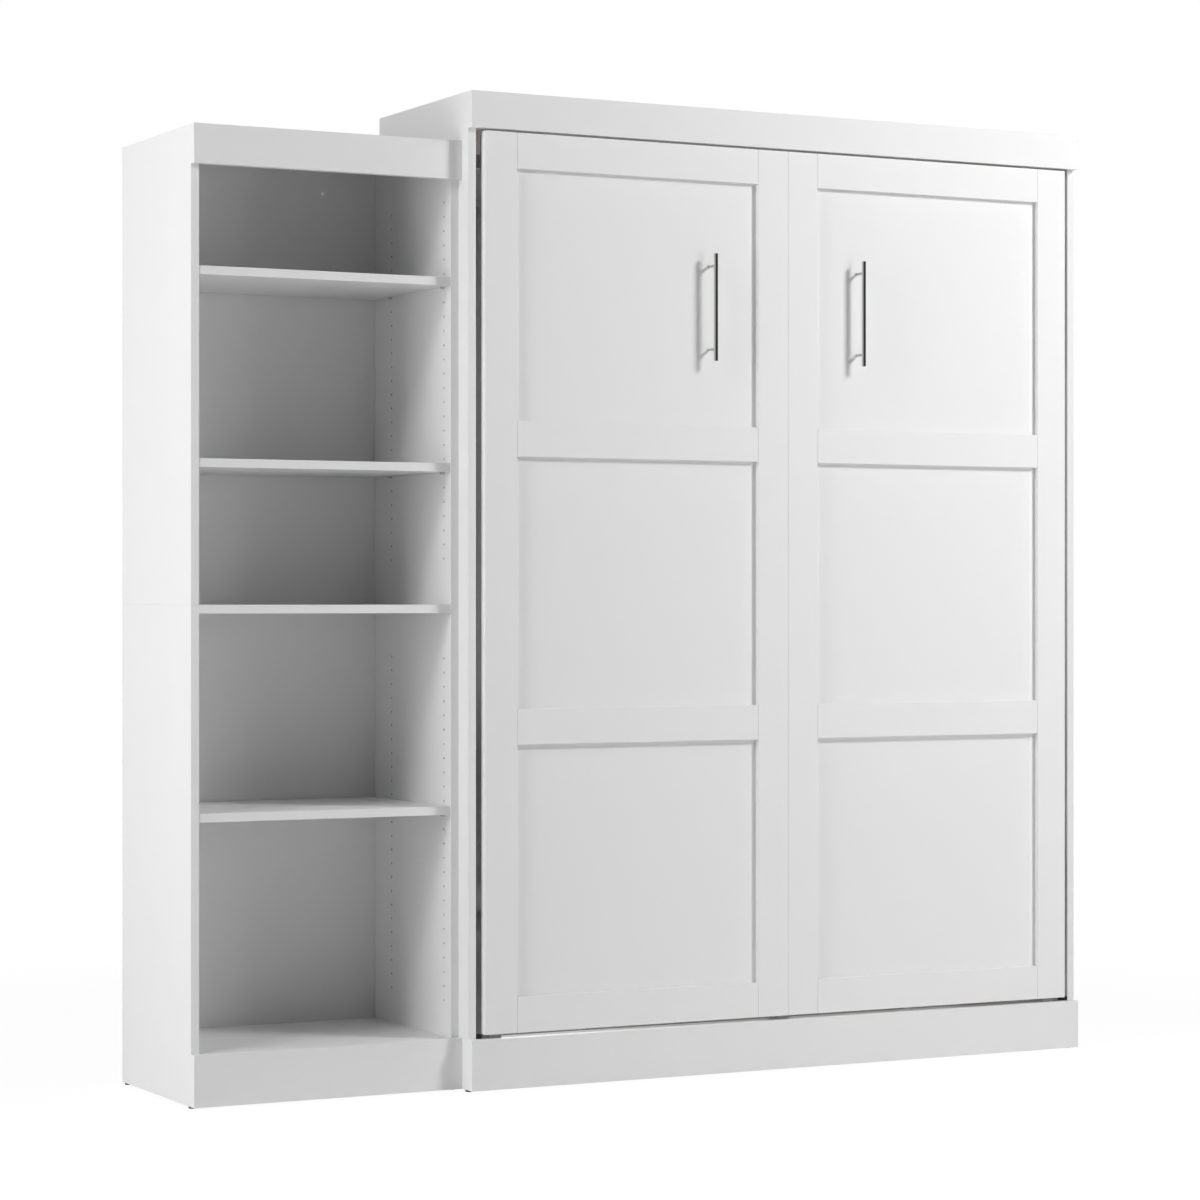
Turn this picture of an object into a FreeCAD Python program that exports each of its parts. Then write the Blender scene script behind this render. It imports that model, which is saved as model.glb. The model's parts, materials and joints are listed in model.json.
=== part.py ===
import FreeCAD, Part
import math
import os
import Sketcher
from FreeCAD import Vector

# A wall bed: a shallow cabinet whose tall framed face swings down as a queen bed, with an open bookcase on
# its left. The bed is shut. The origin is on the floor in the middle of the footprint, X runs to the right,
# Y towards the wall and Z up. Lengths are in millimetres.

SIZES = {
    # Cabinet
    "board": 19.05,
    "glide_height": 5.0,
    "glide_dia": 18.0,
    "glide_inset": 16.0,
    "cabinet_width": 1639.0,
    "cabinet_height": 2225.7,
    "cabinet_depth": 508.0,
    "crown_height": 81.6,
    "base_height": 113.5,
    "top_wall_rail": 140.0,
    "bottom_wall_rail": 115.0,
    "headboard_rail": 220.0,
    "headboard_lift": 640.0,
    "screw_dia": 7.0,
    "screw_spacing": 812.8,
    # Bookcase
    "case_width": 636.1,
    "case_height": 2118.4,
    "case_setback": 50.9,
    "case_crown": 86.0,
    "case_base": 113.2,
    "case_split": 1082.0,
    "pin_dia": 5.0,
    "pin_spacing": 32.0,
    "pin_hole_depth": 10.0,
    "pin_front": 36.5,
    "pin_column_spacing": 288.0,
    "pin_lower_height": 193.2,
    "pin_upper_height": 103.0,
    "pin_reach": 9.0,
    "pin_clearance": 0.05,
    "shelf_play": 1.0,
    "shelf_recess": 2.0,
    "cord_hole_dia": 9.0,
    "cord_hole_drop": 61.2,
    "cord_hole_inset": 465.7,
    # Bed face
    "face_side_gap": 16.45,
    "face_foot_gap": 5.0,
    "face_head_gap": 9.4,
    "face_recess": 6.35,
    "strip_width": 80.2,
    "strip_thick": 12.7,
    "panel_thick": 8.0,
    "joint_gap": 0.4,
    # Bar pulls
    "bar_dia": 10.0,
    "bar_length": 248.0,
    "bar_standoff": 32.0,
    "post_dia": 7.0,
    "post_spacing": 192.0,
    "pull_drop": 373.0,
    "left_pull_inset": 204.5,
    "right_pull_inset": 195.5,
    # Bed frame
    "tube_wide": 30.0,
    "tube_deep": 50.0,
    "tube_wall": 2.0,
    "rail_gap": 37.0,
    "frame_drop": 43.0,
    "frame_foot_gap": 1.1,
    "lip_thick": 2.0,
    "lip_height": 25.0,
    "lip_play": 3.0,
    "slat_width": 68.0,
    "slat_thick": 8.0,
    "slat_camber": 8.0,
    "slat_margin": 70.0,
    "holder_floor": 3.0,
    "holder_slot": 11.5,
    "holder_roof": 2.5,
    "holder_length": 40.0,
    "holder_inset": 4.0,
    "holder_end": 5.0,
    "holder_side": 3.0,
    "slat_play": 0.25,
    "retainer_width": 900.0,
    "retainer_thick": 5.0,
    "retainer_bend": 50.0,
    "head_retainer_reach": 180.0,
    "head_retainer_height": 14.0,
    "foot_retainer_reach": 170.0,
    "foot_retainer_height": 10.0,
    # Lift hardware
    "pivot_depth": 150.0,
    "pivot_height": 385.0,
    "pivot_dia": 16.0,
    "running_clearance": 0.05,
    "mount_plate_thick": 4.0,
    "mount_plate_edge": 35.0,
    "pivot_end": 1.0,
    "bracket_thick": 5.0,
    "bracket_edge": 28.0,
    "bracket_inset": 5.0,
    "bracket_rise": 170.0,
    "bush_wall": 2.0,
    "bush_flange": 2.0,
    "plate_chamfer": 12.0,
    "strut_gap": 20.45,
    "strut_dia": 22.0,
    "strut_tube": 320.0,
    "strut_rod_dia": 10.0,
    "strut_rod_overlap": 27.0,
    "strut_cap": 12.0,
    "strut_eye_dia": 18.0,
    "strut_eye_thick": 9.0,
    "strut_eye_wall": 2.0,
    "strut_stud_dia": 8.0,
    "strut_neck_dia": 8.8,
    "anchor_back": 50.0,
    "anchor_rise": 400.0,
    "crank_back": 25.0,
    "crank_drop": 175.0,
    # Folding legs
    "leg_inset": 148.0,
    "leg_offset": 65.0,
    "leg_gap": 5.0,
    "leg_thick": 10.0,
    "leg_width": 30.0,
    "leg_pin_dia": 12.0,
    "leg_crank": 25.0,
    "leg_plate_half": 40.0,
    "leg_chamfer": 6.0,
    "foot_height": 10.0,
    "foot_length": 44.0,
    "foot_thick": 12.0,
    "foot_lift": 0.5,
    "link_gap": 18.0,
    "link_thick": 4.0,
    "link_width": 20.0,
    "link_chamfer": 6.0,
    "link_pin_dia": 8.0,
    "pin_end": 1.8,
    "pin_shoulder": 2.5,
    "pin_side_play": 0.3,
    # Rubber parts
    "bumper_thick": 15.0,
    "bumper_length": 20.0,
    "bumper_height": 10.0,
    "stop_reach": 55.0,
    "stop_depth": 20.0,
    "stop_height": 30.0,
    "stop_drop": 75.0,
    "stop_play": 0.3,
    # Shared overrun of every cut
    "overrun": 2.0,
}

COUNTS = {
    "pin_lower_count": 25,
    "pin_upper_count": 26,
    "top_shelf_hole": 19,
    "middle_shelf_hole": 6,
    "lower_shelf_hole": 13,
    "slat_count": 13,
    "glide_sides": 8,
    "shoulder_sides": 6,
    "cross_rail_count": 4,
}


class Size:
    """A length or an angle that carries its number and the sheet expression that gives it."""

    def __init__(self, number, text):
        self.number = number
        self.text = text

    def joined(self, other, sign, number):
        return Size(number, f"({self.text} {sign} {sized(other).text})")

    def __add__(self, other):
        return self.joined(other, "+", self.number + sized(other).number)

    def __sub__(self, other):
        return self.joined(other, "-", self.number - sized(other).number)

    def __mul__(self, other):
        return self.joined(other, "*", self.number * sized(other).number)

    def __truediv__(self, other):
        return self.joined(other, "/", self.number / sized(other).number)

    def __neg__(self):
        return Size(-self.number, f"(-{self.text})")

    __radd__ = __add__
    __rmul__ = __mul__


def sized(value):
    """The value itself when it is a Size, or a Size around a plain number."""
    if isinstance(value, Size):
        return value
    return Size(float(value), str(value))


def diagonal(across, along):
    """The length of a line that goes across by one size and along by another."""
    return Size(math.hypot(across.number, along.number), f"hypot({across.text}; {along.text})")


def slope(rise, run):
    """The angle of a line with the given rise and run, in degrees."""
    return Size(math.degrees(math.atan2(rise.number, run.number)), f"atan2({rise.text}; {run.text})")


def make_sheet(document):
    """Write every driving size and count into the sheet, and return them by name."""
    sheet = document.addObject("Spreadsheet::Sheet", "Sizes")
    table = {}
    for row, (name, value) in enumerate(list(SIZES.items()) + list(COUNTS.items()), start=1):
        sheet.set(f"A{row}", name)
        sheet.set(f"B{row}", str(value))
        sheet.setAlias(f"B{row}", name)
        table[name] = Size(float(value), f"Sizes.{name}")
    document.recompute()
    return table


DOC = FreeCAD.newDocument("WallBed")
S = make_sheet(DOC)
ZERO = Size(0.0, "0")
NODES = []

# Places that many pieces share, measured in the object's frame

BOARD = S["board"]
REACH = S["bar_standoff"] + S["bar_dia"] / 2 - BOARD
FRONT = (REACH - S["cabinet_depth"]) / 2
WALL = FRONT + S["cabinet_depth"]
DECK = S["glide_height"]

CASE_LEFT = -(S["case_width"] + S["cabinet_width"]) / 2
CAB_LEFT = CASE_LEFT + S["case_width"]
CAB_RIGHT = CAB_LEFT + S["cabinet_width"]
SEAM = (CAB_LEFT + CAB_RIGHT) / 2
INNER_LEFT = CAB_LEFT + BOARD
INNER_RIGHT = CAB_RIGHT - BOARD
CAB_TOP = DECK + S["cabinet_height"]
SIDE_FRONT = FRONT + BOARD
RAIL_FRONT = WALL - BOARD

FACE_LEFT = INNER_LEFT + S["face_side_gap"]
FACE_RIGHT = INNER_RIGHT - S["face_side_gap"]
FACE_LOW = DECK + S["base_height"] + S["face_head_gap"]
FACE_HIGH = CAB_TOP - S["crown_height"] - S["face_foot_gap"]
STRIP_FRONT = FRONT + S["face_recess"]
PANEL_FRONT = STRIP_FRONT + S["strip_thick"]
PANEL_BACK = PANEL_FRONT + S["panel_thick"]

RAIL_LEFT = INNER_LEFT + S["rail_gap"]
TUBE_BACK = PANEL_BACK + S["tube_deep"]
FRAME_LOW = FACE_LOW - S["frame_drop"]
FRAME_HIGH = FACE_HIGH - S["frame_foot_gap"]

PIVOT_Y = FRONT + S["pivot_depth"]
PIVOT_Z = S["pivot_height"]
BRACKET_LEFT = RAIL_LEFT - S["bracket_thick"]
STRUT_X = INNER_LEFT + S["strut_gap"]
CRANK_Y = PIVOT_Y + S["crank_back"]
CRANK_Z = PIVOT_Z - S["crank_drop"]
ANCHOR_Y = PIVOT_Y + S["anchor_back"]
ANCHOR_Z = PIVOT_Z + S["anchor_rise"]
STRUT_LENGTH = diagonal(CRANK_Y - ANCHOR_Y, ANCHOR_Z - CRANK_Z)
STRUT_TILT = slope(CRANK_Y - ANCHOR_Y, ANCHOR_Z - CRANK_Z)

LEG_X = INNER_LEFT + S["leg_gap"]
LEG_Y = PIVOT_Y - S["leg_offset"]
LEG_Z = FRAME_HIGH - S["leg_inset"]
LEG_REACH = LEG_Z - PIVOT_Z
LINK_X = INNER_LEFT + S["link_gap"]

CASE_INNER_LEFT = CASE_LEFT + BOARD
CASE_INNER_RIGHT = CAB_LEFT - BOARD
CASE_FRONT = FRONT + S["case_setback"]
CASE_SIDE_FRONT = CASE_FRONT + BOARD
CASE_SPLIT = DECK + S["case_split"]
CASE_TOP = DECK + S["case_height"]
CASE_FLOOR = DECK + S["case_base"]

# The plane that a piece is drawn on, its two directions, and whether its pad is turned round
DRAWN_ON = {
    "X": ("YZ_Plane", "Y", "Z", False),
    "Y": ("XZ_Plane", "X", "Z", True),
    "Z": ("XY_Plane", "X", "Y", False),
}


def origin_feature(body, role):
    """The plane or axis of a body's own origin that has the given role."""
    return next(feature for feature in body.Origin.OriginFeatures if feature.Role == role)


def place(piece, x, y, z, tilt=None):
    """Bind a piece's placement to its sizes, tilted about X where an angle is given."""
    if tilt is not None:
        piece.Placement = FreeCAD.Placement(Vector(), FreeCAD.Rotation(Vector(1, 0, 0), tilt.number))
        piece.setExpression("Placement.Rotation.Angle", tilt.text)
    piece.setExpression("Placement.Base.x", x.text)
    piece.setExpression("Placement.Base.y", y.text)
    piece.setExpression("Placement.Base.z", z.text)


def keep(piece):
    """Put a finished piece on the list of nodes that are written out."""
    NODES.append(piece)
    return piece


def new_body(label, x, y, z, tilt=None):
    body = DOC.addObject("PartDesign::Body", label)
    body.Label = label
    place(body, x, y, z, tilt)
    return body


def new_sketch(body, plane, lift=None):
    """An empty sketch on one of the body's own planes, lifted along the plane's normal."""
    sketch = body.newObject("Sketcher::SketchObject", f"{body.Label}_sketch")
    sketch.AttachmentSupport = [(origin_feature(body, plane), "")]
    sketch.MapMode = "FlatFace"
    if lift is not None:
        sketch.setExpression("AttachmentOffset.Base.z", lift.text)
    return sketch


def bind(sketch, kind, geometry, value, *more):
    """Add a dimension to a sketch and bind it to its size."""
    index = sketch.addConstraint(Sketcher.Constraint(kind, *geometry, value.number, *more))
    sketch.setExpression(f"Constraints[{index}]", value.text)


def pin_point(sketch, geometry, position, u, v):
    """Fix one point of a sketch by its two distances from the sketch's origin."""
    bind(sketch, "DistanceX", (-1, 1, geometry, position), u)
    bind(sketch, "DistanceY", (-1, 1, geometry, position), v)


def polygon(sketch, points):
    """A closed outline of straight lines through points given in sizes."""
    flat = [Vector(u.number, v.number, 0) for u, v in points]
    first = sketch.GeometryCount
    count = len(points)
    for index in range(count):
        sketch.addGeometry(Part.LineSegment(flat[index], flat[(index + 1) % count]))
    for index in range(count):
        following = first + (index + 1) % count
        sketch.addConstraint(Sketcher.Constraint("Coincident", first + index, 2, following, 1))
    for index, (u, v) in enumerate(points):
        pin_point(sketch, first + index, 1, u, v)


def rectangle(sketch, width, height, u=ZERO, v=ZERO):
    polygon(sketch, [(u, v), (u + width, v), (u + width, v + height), (u, v + height)])


def circle(sketch, u, v, radius):
    centre = Vector(u.number, v.number, 0)
    index = sketch.addGeometry(Part.Circle(centre, Vector(0, 0, 1), radius.number))
    pin_point(sketch, index, 3, u, v)
    bind(sketch, "Radius", (index,), radius)


def hexagon(sketch, u, v, radius):
    """A six-sided outline inside a circle of the given radius."""
    sides = int(S["shoulder_sides"].number)
    points = []
    for step in range(sides):
        angle = 2 * math.pi * step / sides
        points.append((u + radius * math.cos(angle), v + radius * math.sin(angle)))
    polygon(sketch, points)


def square(sketch, u, v, width):
    """A square outline round a middle point."""
    rectangle(sketch, width, width, u - width / 2, v - width / 2)


def pad(body, sketch, length, flip=False, centred=False):
    """Push a sketch out to a solid, along its normal or the other way."""
    feature = body.newObject("PartDesign::Pad", f"{body.Label}_pad")
    feature.Profile = sketch
    feature.Reversed = flip
    if centred:
        feature.SideType = "Symmetric"
    feature.setExpression("Length", length.text)
    sketch.Visibility = False
    return feature


def cut(body, sketch, depth, flip=False):
    """Sink a sketch into the body, and stop if that takes nothing away."""
    DOC.recompute()
    before = body.Shape.Volume
    feature = body.newObject("PartDesign::Pocket", f"{body.Label}_pocket")
    feature.Profile = sketch
    feature.Reversed = flip
    feature.setExpression("Length", depth.text)
    DOC.recompute()
    if body.Shape.Volume >= before:
        raise RuntimeError(f"{body.Label}: a pocket cuts nothing")
    return feature


def repeat(body, feature, axis, count, pitch):
    """Copy a feature along one of the body's own axes."""
    pattern = body.newObject("PartDesign::LinearPattern", f"{body.Label}_pattern")
    pattern.Originals = [feature]
    pattern.Direction = (origin_feature(body, axis), [""])
    pattern.Mode = "Spacing"
    pattern.setExpression("Occurrences", count.text)
    pattern.setExpression("Offset", pitch.text)
    body.Tip = pattern
    return pattern


def turn(body, points):
    """Spin an outline of radius and height about the body's Z axis."""
    sketch = new_sketch(body, "XZ_Plane")
    polygon(sketch, points)
    feature = body.newObject("PartDesign::Revolution", f"{body.Label}_turned")
    feature.Profile = sketch
    feature.ReferenceAxis = (sketch, ["V_Axis"])
    sketch.Visibility = False
    return feature


def corner_edges(shape, along, beyond=None):
    """The names of the straight edges that run along a direction, past a height in Y where one is given."""
    names = []
    for number, edge in enumerate(shape.Edges, start=1):
        if edge.Curve.TypeId != "Part::GeomLine":
            continue
        if abs(edge.tangentAt(edge.FirstParameter).dot(along)) < 1 - Part.Precision.approximation():
            continue
        if beyond is None or edge.CenterOfMass.y > beyond:
            names.append(f"Edge{number}")
    return names


def finish_corners(body, kind, prop, size, names):
    """Put one fillet or chamfer on named edges of the body's last feature."""
    base = body.Tip
    feature = body.newObject(f"PartDesign::{kind}", f"{body.Label}_corners")
    feature.Base = (base, names)
    feature.setExpression(prop, size.text)
    DOC.recompute()
    return feature


def chamfer_corners(body, size):
    """Cut the corners of a plate that is thin in X."""
    DOC.recompute()
    return finish_corners(body, "Chamfer", "Size", size, corner_edges(body.Tip.Shape, Vector(1, 0, 0)))


def board(label, x, y, z, thin):
    """A square-edged board between two limits on each axis, drawn across the axis it is thin in."""
    spans = {"X": x, "Y": y, "Z": z}
    plane, across, along, flip = DRAWN_ON[thin]
    body = new_body(label, x[0], y[0], z[0])
    sketch = new_sketch(body, plane)
    rectangle(sketch, spans[across][1] - spans[across][0], spans[along][1] - spans[along][0])
    pad(body, sketch, spans[thin][1] - spans[thin][0], flip)
    return keep(body)


def tube(label, x, y, z, run):
    """A rectangular steel tube between two limits on each axis, hollow along its run."""
    spans = {"X": x, "Y": y, "Z": z}
    plane, across, along, flip = DRAWN_ON[run]
    width = spans[across][1] - spans[across][0]
    height = spans[along][1] - spans[along][0]
    wall = S["tube_wall"]
    body = new_body(label, x[0], y[0], z[0])
    sketch = new_sketch(body, plane)
    rectangle(sketch, width, height)
    rectangle(sketch, width - wall * 2, height - wall * 2, wall, wall)
    pad(body, sketch, spans[run][1] - spans[run][0], flip)
    return keep(body)


def mirror_of(label, source):
    """The right-hand twin of a left-hand piece, mirrored in the middle plane of the bed."""
    twin = DOC.addObject("Part::Mirroring", label)
    twin.Label = label
    twin.Source = source
    twin.Normal = Vector(1, 0, 0)
    twin.setExpression("Base.x", SEAM.text)
    return twin


def mirrored(label, source):
    """A right-hand twin that is a node of its own."""
    return keep(mirror_of(label, source))


def group(label, pieces):
    """Several identical pieces kept as separate solids of one node."""
    compound = DOC.addObject("Part::Compound", label)
    compound.Label = label
    compound.Links = pieces
    return keep(compound)


def prism(name, x, y, z, radius, height, sides):
    piece = DOC.addObject("Part::Prism", name)
    piece.setExpression("Polygon", sides.text)
    piece.setExpression("Circumradius", radius.text)
    piece.setExpression("Height", height.text)
    place(piece, x, y, z)
    return piece


def block(name, x, y, z, length, width, height):
    piece = DOC.addObject("Part::Box", name)
    piece.setExpression("Length", length.text)
    piece.setExpression("Width", width.text)
    piece.setExpression("Height", height.text)
    place(piece, x, y, z)
    return piece


def screw_holes(body, middle_x, middle_z):
    """Two wall-fixing holes in a rail, given the point midway between them from the rail's corner."""
    sketch = new_sketch(body, "XZ_Plane")
    for side in (-1, 1):
        circle(sketch, middle_x + S["screw_spacing"] / 2 * side, middle_z, S["screw_dia"] / 2)
    cut(body, sketch, BOARD + S["overrun"])


def build_cabinet():
    """The fixed cabinet round the bed, open at the back but for its wall rails."""
    sides = (SIDE_FRONT, WALL)
    board("cabinet_side_left", (CAB_LEFT, INNER_LEFT), sides, (DECK, CAB_TOP), "X")
    board("cabinet_side_right", (INNER_RIGHT, CAB_RIGHT), sides, (DECK, CAB_TOP), "X")
    board("cabinet_top", (INNER_LEFT, INNER_RIGHT), sides, (CAB_TOP - BOARD, CAB_TOP), "Z")
    across = (CAB_LEFT, CAB_RIGHT)
    at_front = (FRONT, SIDE_FRONT)
    board("cabinet_crown", across, at_front, (CAB_TOP - S["crown_height"], CAB_TOP), "Y")
    board("cabinet_base_board", across, at_front, (DECK, DECK + S["base_height"]), "Y")
    inner = (INNER_LEFT, INNER_RIGHT)
    at_wall = (RAIL_FRONT, WALL)
    middle = (INNER_RIGHT - INNER_LEFT) / 2
    rail_high = CAB_TOP - BOARD
    top_rail = board("wall_rail_top", inner, at_wall, (rail_high - S["top_wall_rail"], rail_high), "Y")
    screw_holes(top_rail, middle, S["top_wall_rail"] / 2)
    head_low = DECK + S["headboard_lift"]
    headboard = board("headboard_rail", inner, at_wall, (head_low, head_low + S["headboard_rail"]), "Y")
    screw_holes(headboard, middle, S["headboard_rail"] / 2)
    board("wall_rail_bottom", inner, at_wall, (DECK, DECK + S["bottom_wall_rail"]), "Y")


def case_side(label, x, z, start, count, inner_on_far_side):
    """One side of a bookcase section with its two rows of pin holes, drawn square, on the inner face."""
    body = board(label, x, (CASE_SIDE_FRONT, WALL), z, "X")
    lift = BOARD if inner_on_far_side else None
    sketch = new_sketch(body, "YZ_Plane", lift)
    for column in (S["pin_front"], S["pin_front"] + S["pin_column_spacing"]):
        square(sketch, column, start, S["pin_dia"])
    holes = cut(body, sketch, S["pin_hole_depth"], not inner_on_far_side)
    repeat(body, holes, "Z_Axis", count, S["pin_spacing"])


def pin_height(section_low, start, hole):
    """The height of one hole of a row above the floor."""
    return section_low + start + S["pin_spacing"] * hole


def shelf(label, height):
    """An adjustable shelf that rests on pins whose middles are at the given height."""
    low = height + S["pin_dia"] / 2
    x = (CASE_INNER_LEFT + S["shelf_play"], CASE_INNER_RIGHT - S["shelf_play"])
    y = (CASE_SIDE_FRONT + S["shelf_recess"], RAIL_FRONT - S["shelf_recess"])
    board(label, x, y, (low, low + BOARD), "Z")


def shelf_pins(name, x, z):
    """The front and rear pins under one end of a shelf, half of each in its hole."""
    pins = []
    for column in (S["pin_front"], S["pin_front"] + S["pin_column_spacing"]):
        body = new_body(f"{name}_{len(pins)}", x - S["pin_reach"], CASE_SIDE_FRONT + column, z)
        sketch = new_sketch(body, "YZ_Plane")
        square(sketch, ZERO, ZERO, S["pin_dia"] - S["pin_clearance"] * 2)
        pad(body, sketch, S["pin_reach"] * 2)
        pins.append(body)
    return pins


def build_bookcase():
    """The open bookcase, two stacked sections that stand against the cabinet's left side."""
    lower = (DECK, CASE_SPLIT)
    upper = (CASE_SPLIT, CASE_TOP)
    left = (CASE_LEFT, CASE_INNER_LEFT)
    right = (CASE_INNER_RIGHT, CAB_LEFT)
    low_start, low_count = S["pin_lower_height"], S["pin_lower_count"]
    high_start, high_count = S["pin_upper_height"], S["pin_upper_count"]
    case_side("case_lower_side_left", left, lower, low_start, low_count, True)
    case_side("case_lower_side_right", right, lower, low_start, low_count, False)
    case_side("case_upper_side_left", left, upper, high_start, high_count, True)
    case_side("case_upper_side_right", right, upper, high_start, high_count, False)

    inner = (CASE_INNER_LEFT, CASE_INNER_RIGHT)
    whole = (CASE_SIDE_FRONT, WALL)
    board("case_bottom", inner, whole, (CASE_FLOOR - BOARD, CASE_FLOOR), "Z")
    board("case_middle", inner, whole, (CASE_SPLIT - BOARD, CASE_SPLIT), "Z")
    board("case_top", inner, whole, (CASE_TOP - BOARD, CASE_TOP), "Z")
    across = (CASE_LEFT, CAB_LEFT)
    at_front = (CASE_FRONT, CASE_SIDE_FRONT)
    board("case_crown", across, at_front, (CASE_TOP - S["case_crown"], CASE_TOP), "Y")
    board("case_base_board", across, at_front, (DECK, CASE_FLOOR), "Y")
    board("case_lower_back", inner, (RAIL_FRONT, WALL), (CASE_FLOOR, CASE_SPLIT - BOARD), "Y")
    upper_back = board("case_upper_back", inner, (RAIL_FRONT, WALL), (CASE_SPLIT, CASE_TOP - BOARD), "Y")
    sketch = new_sketch(upper_back, "XZ_Plane")
    hole_height = CASE_TOP - BOARD - CASE_SPLIT - S["cord_hole_drop"]
    circle(sketch, S["cord_hole_inset"], hole_height, S["cord_hole_dia"] / 2)
    cut(upper_back, sketch, BOARD + S["overrun"])

    heights = {
        "top_shelf": pin_height(CASE_SPLIT, high_start, S["top_shelf_hole"]),
        "middle_shelf": pin_height(CASE_SPLIT, high_start, S["middle_shelf_hole"]),
        "lower_shelf": pin_height(DECK, low_start, S["lower_shelf_hole"]),
    }
    pins = []
    for label, height in heights.items():
        shelf(label, height)
        for side, x in (("left", CASE_INNER_LEFT), ("right", CASE_INNER_RIGHT)):
            pins += shelf_pins(f"{label}_{side}_pin", x, height)
    group("shelf_pins", pins)


def build_glides():
    """Round plastic glides under the front and rear of every side, drawn with few sides."""
    pieces = []
    radius = S["glide_dia"] / 2
    boards = {
        "case_left": (CASE_LEFT, CASE_SIDE_FRONT),
        "case_right": (CASE_INNER_RIGHT, CASE_SIDE_FRONT),
        "cabinet_left": (CAB_LEFT, SIDE_FRONT),
        "cabinet_right": (INNER_RIGHT, SIDE_FRONT),
    }
    for name, (x, front) in boards.items():
        for end, y in (("front", front + S["glide_inset"]), ("rear", WALL - S["glide_inset"])):
            spot = (x + BOARD / 2, y, ZERO)
            pieces.append(prism(f"{name}_{end}_glide", *spot, radius, DECK, S["glide_sides"]))
    group("glides", pieces)


def build_rubber():
    """The side bumpers by the foot of the face, and the stops that the shut frame rests against."""
    bumpers = []
    bumper_z = DECK + S["base_height"]
    for side, x in (("left", INNER_LEFT), ("right", INNER_RIGHT - S["bumper_thick"])):
        sizes = (S["bumper_thick"], S["bumper_length"], S["bumper_height"])
        bumpers.append(block(f"{side}_bumper", x, SIDE_FRONT, bumper_z, *sizes))
    group("side_bumpers", bumpers)
    stops = []
    stop_z = FACE_HIGH - S["stop_drop"]
    for side, x in (("left", INNER_LEFT), ("right", INNER_RIGHT - S["stop_reach"])):
        sizes = (S["stop_reach"], S["stop_depth"], S["stop_height"])
        stops.append(block(f"{side}_stop", x, TUBE_BACK + S["stop_play"], stop_z, *sizes))
    group("closing_stops", stops)


def build_face():
    """The framed face: two thin panels, four stiles and two sets of four cross rails."""
    strip = S["strip_width"]
    gap = S["joint_gap"]
    seam_left = SEAM - gap / 2
    seam_right = SEAM + gap / 2
    tall = (FACE_LOW, FACE_HIGH)
    panel_y = (PANEL_FRONT, PANEL_BACK)
    strip_y = (STRIP_FRONT, PANEL_FRONT)
    board("face_panel_left", (FACE_LEFT, seam_left), panel_y, tall, "Y")
    board("face_panel_right", (seam_right, FACE_RIGHT), panel_y, tall, "Y")
    board("left_outer_stile", (FACE_LEFT, FACE_LEFT + strip), strip_y, tall, "Y")
    board("left_inner_stile", (seam_left - strip, seam_left), strip_y, tall, "Y")
    board("right_inner_stile", (seam_right, seam_right + strip), strip_y, tall, "Y")
    board("right_outer_stile", (FACE_RIGHT - strip, FACE_RIGHT), strip_y, tall, "Y")
    pitch = (FACE_HIGH - FACE_LOW - strip) / (S["cross_rail_count"] - 1)
    halves = {
        "left_cross_rails": (FACE_LEFT + strip + gap, seam_left - strip - gap),
        "right_cross_rails": (seam_right + strip + gap, FACE_RIGHT - strip - gap),
    }
    for label, across in halves.items():
        body = board(label, across, strip_y, (FACE_LOW, FACE_LOW + strip), "Y")
        repeat(body, body.Tip, "Z_Axis", S["cross_rail_count"], pitch)


def bar_pull(label, x):
    """A bar pull: a straight round bar on two posts that stand on the panel."""
    height = FACE_HIGH - S["pull_drop"]
    body = new_body(label, x, PANEL_FRONT - S["bar_standoff"], height)
    radius = S["bar_dia"] / 2
    half = S["bar_length"] / 2
    turn(body, [(ZERO, -half), (radius, -half), (radius, half), (ZERO, half)])
    posts = new_sketch(body, "XZ_Plane")
    for side in (-1, 1):
        circle(posts, ZERO, S["post_spacing"] / 2 * side, S["post_dia"] / 2)
    pad(body, posts, S["bar_standoff"], True)
    return keep(body)


def leg_mount(rail):
    """The plate and stud on the outside of a side rail that its folding leg hangs from."""
    half = S["leg_width"] / 2
    plate = new_sketch(rail, "YZ_Plane")
    low = LEG_Z - FRAME_LOW - S["leg_plate_half"]
    inset = S["bracket_inset"]
    rectangle(plate, LEG_Y - PANEL_BACK + half - inset, S["leg_plate_half"] * 2, inset, low)
    pad(rail, plate, S["bracket_thick"], True)
    length = S["rail_gap"] - S["leg_gap"] + S["pin_side_play"]
    stud(rail, LEG_Y - PANEL_BACK, LEG_Z - FRAME_LOW, S["leg_pin_dia"] / 2, ZERO, length, True)


def slat_row_low():
    """The lower edge of the first slat."""
    return FRAME_LOW + S["tube_wide"] + S["slat_margin"]


def slat_pitch():
    """The distance from one slat to the next along the bed."""
    last = FRAME_HIGH - S["tube_wide"] - S["slat_margin"] - S["slat_width"]
    return (last - slat_row_low()) / (S["slat_count"] - 1)


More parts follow.
